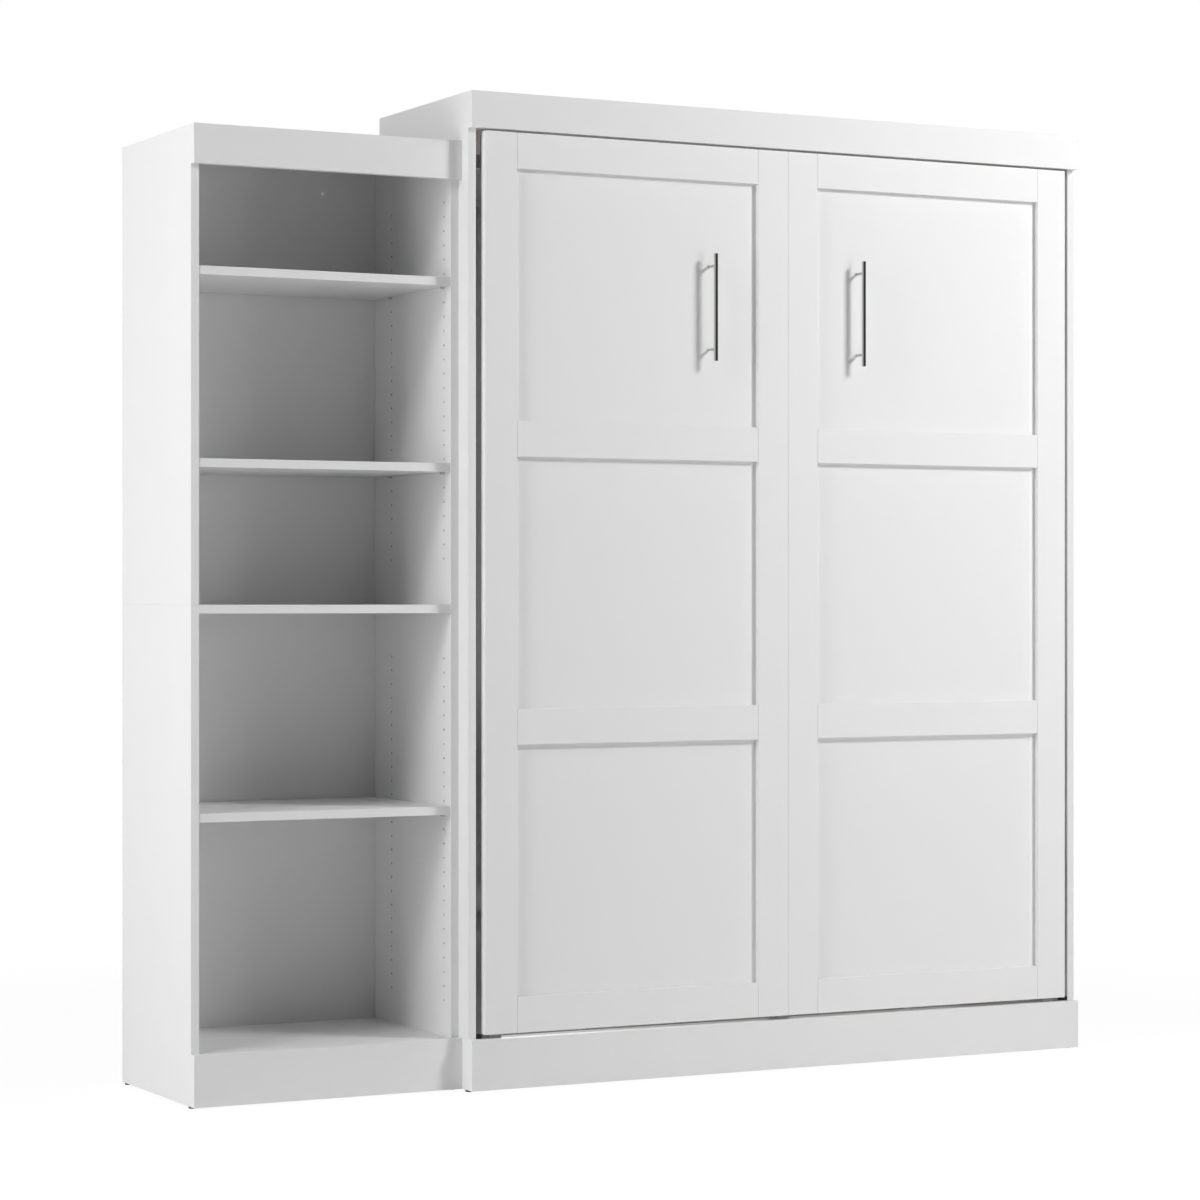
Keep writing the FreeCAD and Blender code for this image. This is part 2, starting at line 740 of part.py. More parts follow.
def slat_outline(sketch, left, right):
    """The bowed section of one slat, between its two ends."""
    thick = S["slat_thick"]
    camber = S["slat_camber"]
    middle = (left.number + right.number) / 2
    chord = (right - left) / 2
    radius = (chord * chord + camber * camber) / (camber * 2)
    corners = ((left, ZERO), (right, ZERO), (right, thick), (left, thick))
    arcs = []
    for low in (ZERO.number, thick.number):
        ends = (Vector(left.number, low, 0), Vector(right.number, low, 0))
        arcs.append(sketch.addGeometry(Part.Arc(ends[0], Vector(middle, low + camber.number, 0), ends[1])))
    for first, second in ((1, 2), (3, 0)):
        ends = [Vector(corners[index][0].number, corners[index][1].number, 0) for index in (first, second)]
        line = sketch.addGeometry(Part.LineSegment(*ends))
        pin_point(sketch, line, 1, *corners[first])
        pin_point(sketch, line, 2, *corners[second])
        arcs.append(line)
    low_arc, high_arc, right_end, left_end = arcs
    # An arc starts at its right end, because it bulges upwards
    joins = (
        (low_arc, 1, right_end, 1),
        (low_arc, 2, left_end, 2),
        (high_arc, 1, right_end, 2),
        (high_arc, 2, left_end, 1),
    )
    for join in joins:
        sketch.addConstraint(Sketcher.Constraint("Coincident", *join))
    bind(sketch, "Radius", (low_arc,), radius)
    bind(sketch, "Radius", (high_arc,), radius)


def build_slats():
    """Two columns of sprung slats, and the clips on the tubes that hold their ends."""
    end = S["holder_end"] + S["slat_play"]
    body = new_body("slats", SEAM, TUBE_BACK + S["holder_floor"] + S["slat_play"], slat_row_low())
    sketch = new_sketch(body, "XY_Plane")
    outer = SEAM - RAIL_LEFT - S["holder_inset"] - end
    slat_outline(sketch, -outer, -end)
    slat_outline(sketch, end, outer)
    rows = pad(body, sketch, S["slat_width"])
    repeat(body, rows, "Z_Axis", S["slat_count"], slat_pitch())
    keep(body)

    long, stop = S["holder_length"], S["holder_end"]
    floor = S["holder_floor"]
    ceiling = floor + S["holder_slot"]
    top = ceiling + S["holder_roof"]
    clips = new_body("slat_holders", SEAM, TUBE_BACK, slat_row_low() - S["holder_side"])
    profile = new_sketch(clips, "XY_Plane")
    edge = SEAM - RAIL_LEFT - S["holder_inset"]
    mouth = edge - long
    back = edge - stop
    outer_clip = [
        (edge, ZERO),
        (mouth, ZERO),
        (mouth, floor),
        (back, floor),
        (back, ceiling),
        (mouth, ceiling),
        (mouth, top),
        (edge, top),
    ]
    for side in (-1, 1):
        polygon(profile, [(u * side, v) for u, v in outer_clip])
    middle_clip = [
        (-long, ZERO),
        (long, ZERO),
        (long, floor),
        (stop, floor),
        (stop, ceiling),
        (long, ceiling),
        (long, top),
        (-long, top),
        (-long, ceiling),
        (-stop, ceiling),
        (-stop, floor),
        (-long, floor),
    ]
    polygon(profile, middle_clip)
    row = pad(clips, profile, S["slat_width"] + S["holder_side"] * 2)
    repeat(clips, row, "Z_Axis", S["slat_count"], slat_pitch())
    keep(clips)


def retainer(label, reach, low, height):
    """A flat bar bent to a loop, which stands out of a frame tube and keeps the mattress end in place."""
    width, thick, bend = S["retainer_width"], S["retainer_thick"], S["retainer_bend"]
    body = new_body(label, SEAM - width / 2, TUBE_BACK, low)
    sketch = new_sketch(body, "XY_Plane")
    polygon(sketch, [
        (ZERO, ZERO),
        (thick, ZERO),
        (thick, reach - thick),
        (width - thick, reach - thick),
        (width - thick, ZERO),
        (width, ZERO),
        (width, reach),
        (ZERO, reach),
    ])
    pad(body, sketch, height)
    DOC.recompute()
    upright = Vector(0, 0, 1)
    outer = corner_edges(body.Tip.Shape, upright, (reach - thick / 2).number)
    finish_corners(body, "Fillet", "Radius", bend, outer)
    inner = corner_edges(body.Tip.Shape, upright, (reach - thick * 2).number)
    finish_corners(body, "Fillet", "Radius", bend - thick, inner)
    return keep(body)


def mattress_lip(rail):
    """The thin bar on edge along a side rail, which keeps the mattress off the cabinet's side."""
    lip = new_sketch(rail, "YZ_Plane")
    length = FACE_HIGH - S["stop_drop"] - S["lip_play"] - FRAME_LOW
    rectangle(lip, S["lip_height"], length, TUBE_BACK - PANEL_BACK, ZERO)
    pad(rail, lip, S["lip_thick"])


def build_frame():
    """The welded tube frame behind the face, with its slats and mattress retainers."""
    depth = (PANEL_BACK, TUBE_BACK)
    wide = S["tube_wide"]
    left_inner = RAIL_LEFT + wide
    right_inner = INNER_RIGHT - S["rail_gap"] - wide
    left_rail = tube("bed_rail_left", (RAIL_LEFT, left_inner), depth, (FRAME_LOW, FRAME_HIGH), "Z")
    leg_mount(left_rail)
    mattress_lip(left_rail)
    mirrored("bed_rail_right", left_rail)
    inner = (left_inner, right_inner)
    tube("head_rail", inner, depth, (FRAME_LOW, FRAME_LOW + wide), "X")
    tube("foot_rail", inner, depth, (FRAME_HIGH - wide, FRAME_HIGH), "X")
    beam = (SEAM - wide / 2, SEAM + wide / 2)
    tube("centre_beam", beam, depth, (FRAME_LOW + wide, FRAME_HIGH - wide), "Z")
    build_slats()
    head, foot = S["head_retainer_height"], S["foot_retainer_height"]
    retainer("head_retainer", S["head_retainer_reach"], FRAME_LOW, head)
    retainer("foot_retainer", S["foot_retainer_reach"], FRAME_HIGH - foot, foot)


def stud(body, u, v, radius, lift, length, flip=False):
    """A round stud along X, from a lift above the body's own YZ plane."""
    sketch = new_sketch(body, "YZ_Plane", lift)
    circle(sketch, u, v, radius)
    return pad(body, sketch, length, flip)


def shouldered_stud(body, u, v, radius, seat, start, length):
    """A stud with a six-sided shoulder up to its seat, whose end stands out of the piece that turns on it."""
    shoulder = seat - S["pin_side_play"]
    sketch = new_sketch(body, "YZ_Plane", start)
    hexagon(sketch, u, v, radius + S["pin_shoulder"])
    pad(body, sketch, shoulder - start)
    stud(body, u, v, radius, shoulder, seat + length + S["pin_end"] - shoulder)


def mount_plate():
    """The steel plate on the cabinet side with the bed pivot, the link pin and the strut's upper stud."""
    body = new_body("mount_plate_left", INNER_LEFT, PIVOT_Y, PIVOT_Z)
    edge = S["mount_plate_edge"]
    crank = S["leg_crank"]
    back = S["anchor_back"] + edge
    front = -crank - edge
    neck = S["anchor_back"] - edge
    high = S["anchor_rise"] + edge
    outline = new_sketch(body, "YZ_Plane")
    shape = [(front, front), (back, front), (back, high), (neck, high), (neck, back), (front, edge)]
    polygon(outline, shape)
    thick = S["mount_plate_thick"]
    pad(body, outline, thick)
    chamfer_corners(body, S["plate_chamfer"])
    stud(body, ZERO, ZERO, S["pivot_dia"] / 2, thick, S["rail_gap"] + S["pivot_end"] - thick)
    shouldered_stud(body, -crank, -crank, S["link_pin_dia"] / 2, S["link_gap"], thick, S["link_thick"])
    seat = S["strut_gap"] - S["strut_eye_thick"] / 2
    strut_stud = S["strut_stud_dia"] / 2
    shouldered_stud(body, S["anchor_back"], S["anchor_rise"], strut_stud, seat, thick, S["strut_eye_thick"])
    keep(body)
    mirrored("mount_plate_right", body)


def hinge_bracket():
    """The plate on the bed's side rail that turns on the pivot and carries the strut's lower end."""
    body = new_body("hinge_bracket_left", BRACKET_LEFT, PIVOT_Y, PIVOT_Z)
    edge = S["bracket_edge"]
    front = PANEL_BACK - PIVOT_Y + S["bracket_inset"]
    behind = TUBE_BACK - PIVOT_Y - S["bracket_inset"]
    crank_y, crank_z = S["crank_back"], -S["crank_drop"]
    outline = new_sketch(body, "YZ_Plane")
    polygon(outline, [
        (front, crank_z - edge),
        (crank_y + edge, crank_z - edge),
        (crank_y + edge, crank_z + edge),
        (edge, -edge),
        (edge, edge),
        (behind, S["bracket_rise"]),
        (front, S["bracket_rise"]),
    ])
    pad(body, outline, S["bracket_thick"])
    chamfer_corners(body, S["plate_chamfer"])
    bores = new_sketch(body, "YZ_Plane")
    circle(bores, ZERO, ZERO, bush_radius() + S["running_clearance"])
    cut(body, bores, S["bracket_thick"] + S["overrun"], True)
    keep(body)
    mirrored("hinge_bracket_right", body)


def bush_radius():
    """The outer radius of the plastic bush in a hinge bracket."""
    return S["pivot_dia"] / 2 + S["running_clearance"] + S["bush_wall"]


def pivot_bushes():
    """A flanged bush in each hinge bracket, which turns on the pivot."""
    body = new_body("pivot_bush_left", BRACKET_LEFT, PIVOT_Y, PIVOT_Z)
    bore = S["pivot_dia"] / 2 + S["running_clearance"]
    stud(body, ZERO, ZERO, bush_radius(), -S["bush_flange"], S["bracket_thick"] + S["bush_flange"])
    stud(body, ZERO, ZERO, bush_radius() + S["bush_flange"], -S["bush_flange"], S["bush_flange"])
    sketch = new_sketch(body, "YZ_Plane", -S["bush_flange"] - S["overrun"])
    circle(sketch, ZERO, ZERO, bore)
    cut(body, sketch, S["bracket_thick"] + S["bush_flange"] + S["overrun"] * 2, True)
    group("pivot_bushes", [body, mirror_of("pivot_bush_right", body)])


def strut_cylinder():
    """The gas strut's cylinder, hung from the mount plate by its eye, and the bore that its rod slides in."""
    body = new_body("strut_cylinder_left", STRUT_X, ANCHOR_Y, ANCHOR_Z, STRUT_TILT)
    eye = S["strut_eye_dia"] / 2
    stud_radius = S["strut_stud_dia"] / 2
    neck = S["strut_neck_dia"] / 2
    outer = S["strut_dia"] / 2
    bore = S["strut_rod_dia"] / 2 + S["running_clearance"]
    top = -stud_radius - S["strut_eye_wall"]
    shoulder = -eye * 2
    mouth = -S["strut_tube"]
    turn(body, [
        (ZERO, top),
        (neck, top),
        (neck, shoulder),
        (outer, shoulder - outer + neck),
        (outer, mouth),
        (bore, mouth),
        (bore, shoulder - outer - S["strut_cap"]),
        (ZERO, shoulder - outer - S["strut_cap"]),
    ])
    ring = new_sketch(body, "YZ_Plane")
    circle(ring, ZERO, ZERO, eye)
    circle(ring, ZERO, ZERO, stud_radius + S["running_clearance"])
    pad(body, ring, S["strut_eye_thick"], centred=True)
    keep(body)
    mirrored("strut_cylinder_right", body)


def strut_rod():
    """The gas strut's rod with its end boss and the pin that points at the hinge bracket."""
    body = new_body("strut_rod_left", STRUT_X, CRANK_Y, CRANK_Z, STRUT_TILT)
    rod = new_sketch(body, "XY_Plane", S["strut_stud_dia"] / 2)
    circle(rod, ZERO, ZERO, S["strut_rod_dia"] / 2)
    pad(body, rod, STRUT_LENGTH - S["strut_tube"] + S["strut_rod_overlap"] - S["strut_stud_dia"] / 2)
    disc = new_sketch(body, "YZ_Plane")
    circle(disc, ZERO, ZERO, S["strut_eye_dia"] / 2)
    pad(body, disc, S["strut_eye_thick"], centred=True)
    half = S["strut_eye_thick"] / 2
    reach = S["rail_gap"] - S["bracket_thick"] - S["strut_gap"] - half - S["pin_side_play"]
    stud(body, ZERO, ZERO, S["strut_stud_dia"] / 2, half, reach)
    keep(body)
    mirrored("strut_rod_right", body)


def leg():
    """A flat folding leg that hangs from the side rail and stays upright as the bed comes down."""
    body = new_body("leg_left", LEG_X, LEG_Y, LEG_Z)
    half = S["leg_width"] / 2
    crank = S["leg_crank"]
    lobe = S["link_width"] / 2
    end = S["foot_height"] + S["foot_lift"] + S["leg_offset"] - PIVOT_Z
    outline = new_sketch(body, "YZ_Plane")
    polygon(outline, [
        (-half, end),
        (half, end),
        (half, half),
        (-half, half),
        (-crank - lobe, lobe - crank),
        (-crank - lobe, -crank - lobe),
        (-half, -crank * 2 - lobe),
    ])
    pad(body, outline, S["leg_thick"])
    chamfer_corners(body, S["leg_chamfer"])
    bore = new_sketch(body, "YZ_Plane")
    circle(bore, ZERO, ZERO, S["leg_pin_dia"] / 2 + S["running_clearance"])
    cut(body, bore, S["leg_thick"] + S["overrun"], True)
    seat = S["link_gap"] - S["leg_gap"]
    shouldered_stud(body, -crank, -crank, S["link_pin_dia"] / 2, seat, S["leg_thick"], S["link_thick"])
    keep(body)
    mirrored("leg_right", body)

    middle = LEG_X + (S["leg_thick"] - S["foot_thick"]) / 2
    low = LEG_Z + end - S["foot_height"]
    foot = new_body("leg_foot_left", middle, LEG_Y - S["foot_length"] / 2, low)
    sole = new_sketch(foot, "YZ_Plane")
    rectangle(sole, S["foot_length"], S["foot_height"])
    pad(foot, sole, S["foot_thick"])
    keep(foot)
    mirrored("leg_foot_right", foot)


def leg_link():
    """The long flat link that keeps a leg upright, pinned to the mount plate and to the leg."""
    crank = S["leg_crank"]
    tilt = slope(S["leg_offset"], LEG_REACH)
    body = new_body("leg_link_left", LINK_X, PIVOT_Y - crank, PIVOT_Z - crank, tilt)
    half = S["link_width"] / 2
    length = diagonal(S["leg_offset"], LEG_REACH)
    outline = new_sketch(body, "YZ_Plane")
    rectangle(outline, half * 2, length + half * 2, -half, -half)
    pad(body, outline, S["link_thick"])
    chamfer_corners(body, S["link_chamfer"])
    bores = new_sketch(body, "YZ_Plane")
    for v in (ZERO, length):
        circle(bores, ZERO, v, S["link_pin_dia"] / 2 + S["running_clearance"])
    cut(body, bores, S["link_thick"] + S["overrun"], True)
    keep(body)
    mirrored("leg_link_right", body)


def check_and_write():
    """Stop if anything failed to build, then write one file for each node."""
    DOC.recompute()
    for item in DOC.Objects:
        if "Invalid" in item.State or "Error" in item.State:
            raise RuntimeError(f"{item.Label} did not build: {item.State}")
    for node in NODES:
        if node.Shape.isNull() or not node.Shape.isValid():
            raise RuntimeError(f"{node.Label} has no valid shape")
    os.makedirs("parts", exist_ok=True)
    for node in NODES:
        node.Shape.exportStep(f"parts/{node.Label}.step")
    print(len(NODES), "nodes written")


build_cabinet()
build_bookcase()
build_glides()
build_rubber()
build_face()
bar_pull("left_pull", SEAM - S["left_pull_inset"])
bar_pull("right_pull", SEAM + S["right_pull_inset"])
build_frame()
mount_plate()
hinge_bracket()
pivot_bushes()
strut_cylinder()
strut_rod()
leg()
leg_link()
check_and_write()
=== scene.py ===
"""A wall bed with an open bookcase: the finished looks of every board, fitting and moving piece."""

import json
import math

import bmesh
import bpy
from bpy.props import FloatProperty, FloatVectorProperty, IntProperty, PointerProperty
from mathutils import Matrix, Vector


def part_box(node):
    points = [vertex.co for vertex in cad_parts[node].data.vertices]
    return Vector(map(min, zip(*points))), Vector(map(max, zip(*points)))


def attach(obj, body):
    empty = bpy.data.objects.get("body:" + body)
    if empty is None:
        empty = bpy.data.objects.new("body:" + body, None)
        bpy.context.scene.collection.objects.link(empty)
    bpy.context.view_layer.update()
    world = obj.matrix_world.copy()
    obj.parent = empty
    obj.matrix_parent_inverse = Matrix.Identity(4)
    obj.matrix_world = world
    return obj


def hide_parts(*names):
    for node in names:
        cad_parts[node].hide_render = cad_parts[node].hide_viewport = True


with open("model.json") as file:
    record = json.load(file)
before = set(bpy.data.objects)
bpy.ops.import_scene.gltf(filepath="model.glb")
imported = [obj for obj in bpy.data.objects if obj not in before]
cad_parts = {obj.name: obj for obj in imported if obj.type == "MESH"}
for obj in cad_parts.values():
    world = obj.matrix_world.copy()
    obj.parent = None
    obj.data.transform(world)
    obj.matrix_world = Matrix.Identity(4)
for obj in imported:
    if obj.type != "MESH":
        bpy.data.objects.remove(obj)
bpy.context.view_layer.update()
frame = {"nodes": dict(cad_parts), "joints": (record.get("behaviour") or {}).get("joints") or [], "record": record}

bl_info = {
    "name": "Wall Bed With Bookcase",
    "version": (1, 0, 0),
    "blender": (4, 5, 0),
    "location": "View3D > Sidebar > Wall Bed",
    "description": "Builds the boards, fittings, finishes and stage of a wall bed with an open bookcase",
    "category": "Add Mesh",
}

X, Y, Z = Vector((1, 0, 0)), Vector((0, 1, 0)), Vector((0, 0, 1))
WHITE = (1, 1, 1, 1)

# Vertices this close are one, faces this flat are one, and edges this sharp are eased

MERGE = 1e-6
FLAT = math.radians(0.5)
CREASE = math.radians(30)

# A face whose normal's share along an axis is above this looks along the axis

STRAIGHT = 0.99

# Faces round the pulls, round most fixings, round small ones and round weld beads

PULL_SIDES, ROUND_SIDES, SMALL_SIDES, BEAD_SIDES = 48, 32, 24, 8

# Faces across the rounded edges of small pieces and of slats, and cuts in a side of a pin hole

SMALL_SEGMENTS, SLAT_SEGMENTS, HOLE_CUTS = 2, 3, 3

# A square pin hole's side is below this many radii of the round hole

HOLE_SIDE_SHARE = 2.2

# Shapes of the fixings, as shares of their radius, height or thickness

SCREW_HEIGHT_SHARE, SCREW_TOP_SHARE, SOCKET_RIM_SHARE, SOCKET_DEPTH_SHARE = 0.45, 0.82, 0.36, 0.7
GLIDE_SOLE_SHARE, SOLE_RIM_SHARE, NAIL_SHARE = 0.86, 0.45, 0.3
WASHER_ROUND_SHARE, SLAT_ROUND_SHARE = 0.3, 0.22
RIPPLE_SHARE, BEAD_WAIST_SHARE, BEAD_SWELL_SHARE = 1.6, 0.78, 0.22
FEWEST_RIPPLES = 3

# Pairs of a light and a dark ply in a slat, just under three so that the last ply stays dark

PLY_PAIRS = 2.999

# Places of two of the mount plates' screws, in screw insets above the pivot and off the strut's eye

SCREW_ABOVE_PIVOT, SCREW_OFF_EYE = 6, 1.6

# Which nodes are cut from white board, and how the board's grain runs

UPRIGHT_BOARDS = (
    "cabinet_side_left", "cabinet_side_right", "case_lower_side_left", "case_lower_side_right",
    "case_upper_side_left", "case_upper_side_right", "case_lower_back", "case_upper_back",
)
LEVEL_BOARDS = (
    "cabinet_top", "cabinet_crown", "cabinet_base_board", "wall_rail_top", "headboard_rail",
    "wall_rail_bottom", "case_bottom", "case_middle", "case_top", "case_crown", "case_base_board",
    "top_shelf", "middle_shelf", "lower_shelf",
)
FACE_PANELS = ("face_panel_left", "face_panel_right")
STILES = ("left_outer_stile", "left_inner_stile", "right_inner_stile", "right_outer_stile")
CROSS_RAILS = ("left_cross_rails", "right_cross_rails")
FRAME_TUBES = ("bed_rail_left", "bed_rail_right", "head_rail", "foot_rail", "centre_beam")
RETAINERS = ("head_retainer", "foot_retainer")
SIDES = ("left", "right")

# Each lamp's place, target, side in metres and the setting that holds its power

MIDDLE = (0, 0, 1.1)
LAMPS = {
    "key_lamp": ((2.6, -2.9, 3.5), MIDDLE, 0.9, "key_power"),
    "low_lamp": ((2.64, -3.77, 1.2), MIDDLE, 1.4, "low_power"),
    "left_lamp": ((-5.2, -0.8, 1.7), (-1.1, 0, 1.2), 2.4, "left_power"),
    "high_lamp": ((-4.17, -1.94, 4.4), MIDDLE, 1.4, "high_power"),
    "back_lamp": ((1.0, 6.0, 1.4), MIDDLE, 4.0, "back_power"),
}

# The camera's sensor in mm, how far it sees in metres, and the distance that the floor's white is scaled by

SENSOR_WIDTH = 36.0
VIEW_LIMIT = 200.0
FLOOR_REACH = 10.0


def body_of(node):
    """The name of the CAD body that carries a node."""
    for body, members in frame["record"]["behaviour"]["bodies"].items():
        if node in members:
            return body
    raise KeyError(node)


# Sizes and colours a user would change


def length(name, description, default, low=0.0, high=10.0):
    return FloatProperty(name=name, description=description, default=default, min=low, max=high,
                         precision=5, unit="LENGTH")


def tint(name, description, default):
    return FloatVectorProperty(name=name, description=description, default=default, size=3, min=0.0,
                               max=1.0, subtype="COLOR")


class WALLBED_PG_sizes(bpy.types.PropertyGroup):
    """Sizes of the edges, fixings and trims that the boards and fittings get."""

    edge_segments: IntProperty(name="Edge segments", description="Faces across a rounded edge",
                               default=3, min=1, max=8)
    shortest_edge: length("Shortest edge", "Shorter edges of boards and tubes stay sharp", 0.012)
    board_edge: length("Board edge", "Rounding of the banded edges of the boards", 0.0008)
    strip_edge: length("Strip edge", "Rounding of the edges of stiles and cross rails", 0.0009)
    plate_edge: length("Plate edge", "Rounding of the edges of steel plates and pins", 0.0005)
    tube_edge: length("Tube edge", "Rounding of the edges of the frame tubes", 0.0009)
    leg_edge: length("Leg edge", "Rounding of the edges of the legs", 0.001)
    foot_edge: length("Foot edge", "Rounding of the plastic feet", 0.002)
    holder_edge: length("Holder edge", "Rounding of the slat holders", 0.0006)
    rubber_edge: length("Rubber edge", "Rounding of the rubber bumpers and stops", 0.0015)
    glide_edge: length("Glide edge", "Rounding of the glides' rims", 0.0009)
    sole_depth: length("Sole depth", "Depth of the nail's recess in a glide's sole", 0.001)
    nail_thick: length("Nail thickness", "Thickness of the nail's head in a glide", 0.0006)
    hole_radius: length("Hole radius", "Radius of the shelf-pin holes", 0.0025)
    pin_radius: length("Pin radius", "Radius of the shelf pins", 0.00245)
    collar_radius: length("Collar radius", "Radius of the collar on a shelf pin", 0.0036)
    collar_thick: length("Collar thickness", "Thickness of the collar on a shelf pin", 0.0012)
    bar_edge: length("Bar edge", "Rounding of the ends of the pulls", 0.0008)
    post_radius: length("Post radius", "Radius of the pulls' posts", 0.0032)
    post_spacing: length("Post spacing", "Distance between the two posts of a pull", 0.192)
    slat_thick: length("Slat thickness", "Thickness of a slat", 0.008)
    slat_cuts: IntProperty(name="Slat cuts", description="Cuts across a slat before it is bent",
                           default=13, min=1, max=40)
    tube_wall: length("Tube wall", "Thickness of the frame tubes' walls", 0.002)
    cap_depth: length("Cap depth", "Depth of the plastic plugs in the rails' ends", 0.012)
    cap_rim: length("Cap rim", "Width of the raised rim on a plug", 0.003)
    weld_radius: length("Weld radius", "Radius of the weld beads", 0.0022)
    mount_plate: length("Mount plate", "Thickness of the mount plates", 0.004)
    screw_inset: length("Screw inset", "Distance of a screw from the plate's edge", 0.013)
    screw_radius: length("Screw radius", "Radius of a screw head", 0.0045)
    washer_radius: length("Washer radius", "Radius of the washers on the pins", 0.0068)
    washer_thick: length("Washer thickness", "Thickness of the washers on the pins", 0.0008)
    eye_half: length("Eye half", "Half the thickness of a strut's eye", 0.0045)
    strut_tube: length("Strut tube", "Distance from a strut's upper eye to its mouth", 0.32)
    seal_radius: length("Seal radius", "Radius of the seal at a strut's mouth", 0.0085)
    seal_thick: length("Seal thickness", "Thickness of the seal at a strut's mouth", 0.003)


class WALLBED_PG_colours(bpy.types.PropertyGroup):
    """Colours of the finishes, as linear values."""

    board_white: tint("Board white", "White melamine of the boards", (0.88, 0.88, 0.882))
    face_white: tint("Face white", "White foil on the bed face", (0.89, 0.89, 0.89))
    raw_board: tint("Raw board", "Particle board on the edges that are not banded", (0.56, 0.43, 0.29))
    pull_steel: tint("Pull steel", "Brushed nickel-plated steel of the bar pulls", (0.55, 0.545, 0.535))
    frame_steel: tint("Frame steel", "Light grey powder coat on the bed frame", (0.62, 0.62, 0.625))
    plate_steel: tint("Plate steel", "Zinc-plated steel plates", (0.5, 0.5, 0.5))
    birch: tint("Birch", "Lacquered birch ply of the slats", (0.72, 0.52, 0.33))
    nickel: tint("Nickel", "Nickel plate on pins and screws", (0.6, 0.58, 0.55))
    chrome: tint("Chrome", "Hard chrome on the strut rods", (0.78, 0.79, 0.8))
    black: tint("Black", "Black plastic, rubber and enamel", (0.02, 0.02, 0.021))
    grey: tint("Grey", "Grey rubber of the closing stops", (0.48, 0.48, 0.48))
    nylon: tint("Nylon", "Natural nylon of the pivot bushes", (0.78, 0.77, 0.72))


class WALLBED_PG_stage(bpy.types.PropertyGroup):
    """The camera, the lamps and the floor."""

    camera_place: FloatVectorProperty(name="Camera place", description="Where the camera stands",
                                      default=(-3.7405, -7.0777, 1.0974), size=3, unit="LENGTH")
    camera_turn: FloatProperty(name="Camera turn", description="The camera's angle about the vertical",
                               default=math.radians(-27.52), unit="ROTATION")
    camera_lens: FloatProperty(name="Lens", description="Focal length on a 36 mm sensor",
                               default=102.05, unit="CAMERA")
    floor_size: length("Floor size", "Side of the square floor", 60.0, 1.0, 200.0)
    floor_near: FloatProperty(name="Floor near", description="White that the floor shows by the bed",
                              default=1.05, min=0.0)
    floor_far: FloatProperty(name="Floor far", description="White that the floor shows far away",
                             default=1.13, min=0.0)
    key_power: FloatProperty(name="Key power", description="Strength of the lamp at the front right",
                             default=112.0, min=0.0)
    low_power: FloatProperty(name="Low power", description="Strength of the lamp low at the front right",
                             default=31.0, min=0.0)
    left_power: FloatProperty(name="Left power", description="Strength of the lamp at the left",
                              default=120.0, min=0.0)
    high_power: FloatProperty(name="High power", description="Strength of the lamp high on the left",
                              default=58.0, min=0.0)
    back_power: FloatProperty(name="Back power", description="Strength of the lamp behind the bed",
                              default=150.0, min=0.0)
    floor_grey: FloatProperty(name="Floor grey", description="Paint of the floor, which the lamps light",
                              default=0.8, min=0.0, max=1.0)
    floor_cover: FloatProperty(name="Floor cover", description="Share of the floor's white over its paint",
                               default=0.9, min=0.0, max=1.0)
    dim_turn: FloatProperty(name="Dim turn", description="Direction of the studio's dim front",
                            default=math.radians(20), unit="ROTATION")
    dim_white: FloatProperty(name="Dim white", description="White that gloss mirrors from the dim front",
                             default=0.06, min=0.0, max=1.0)


# Shader helpers


class Value:
    """A shader socket that can stand in a Python sum: each operator adds one Math node."""

    def __init__(self, finish, socket):
        self.finish = finish
        self.socket = socket

    def math(self, operation, *terms):
        return self.finish.node("ShaderNodeMath", {"operation": operation}, dict(enumerate(terms)))

    def __add__(self, other):
        return self.math("ADD", self, other)

    def __sub__(self, other):
        return self.math("SUBTRACT", self, other)

    def __rsub__(self, other):
        return self.math("SUBTRACT", other, self)

    def __mul__(self, other):
        return self.math("MULTIPLY", self, other)

    def __truediv__(self, other):
        return self.math("DIVIDE", self, other)

    __radd__ = __add__
    __rmul__ = __mul__


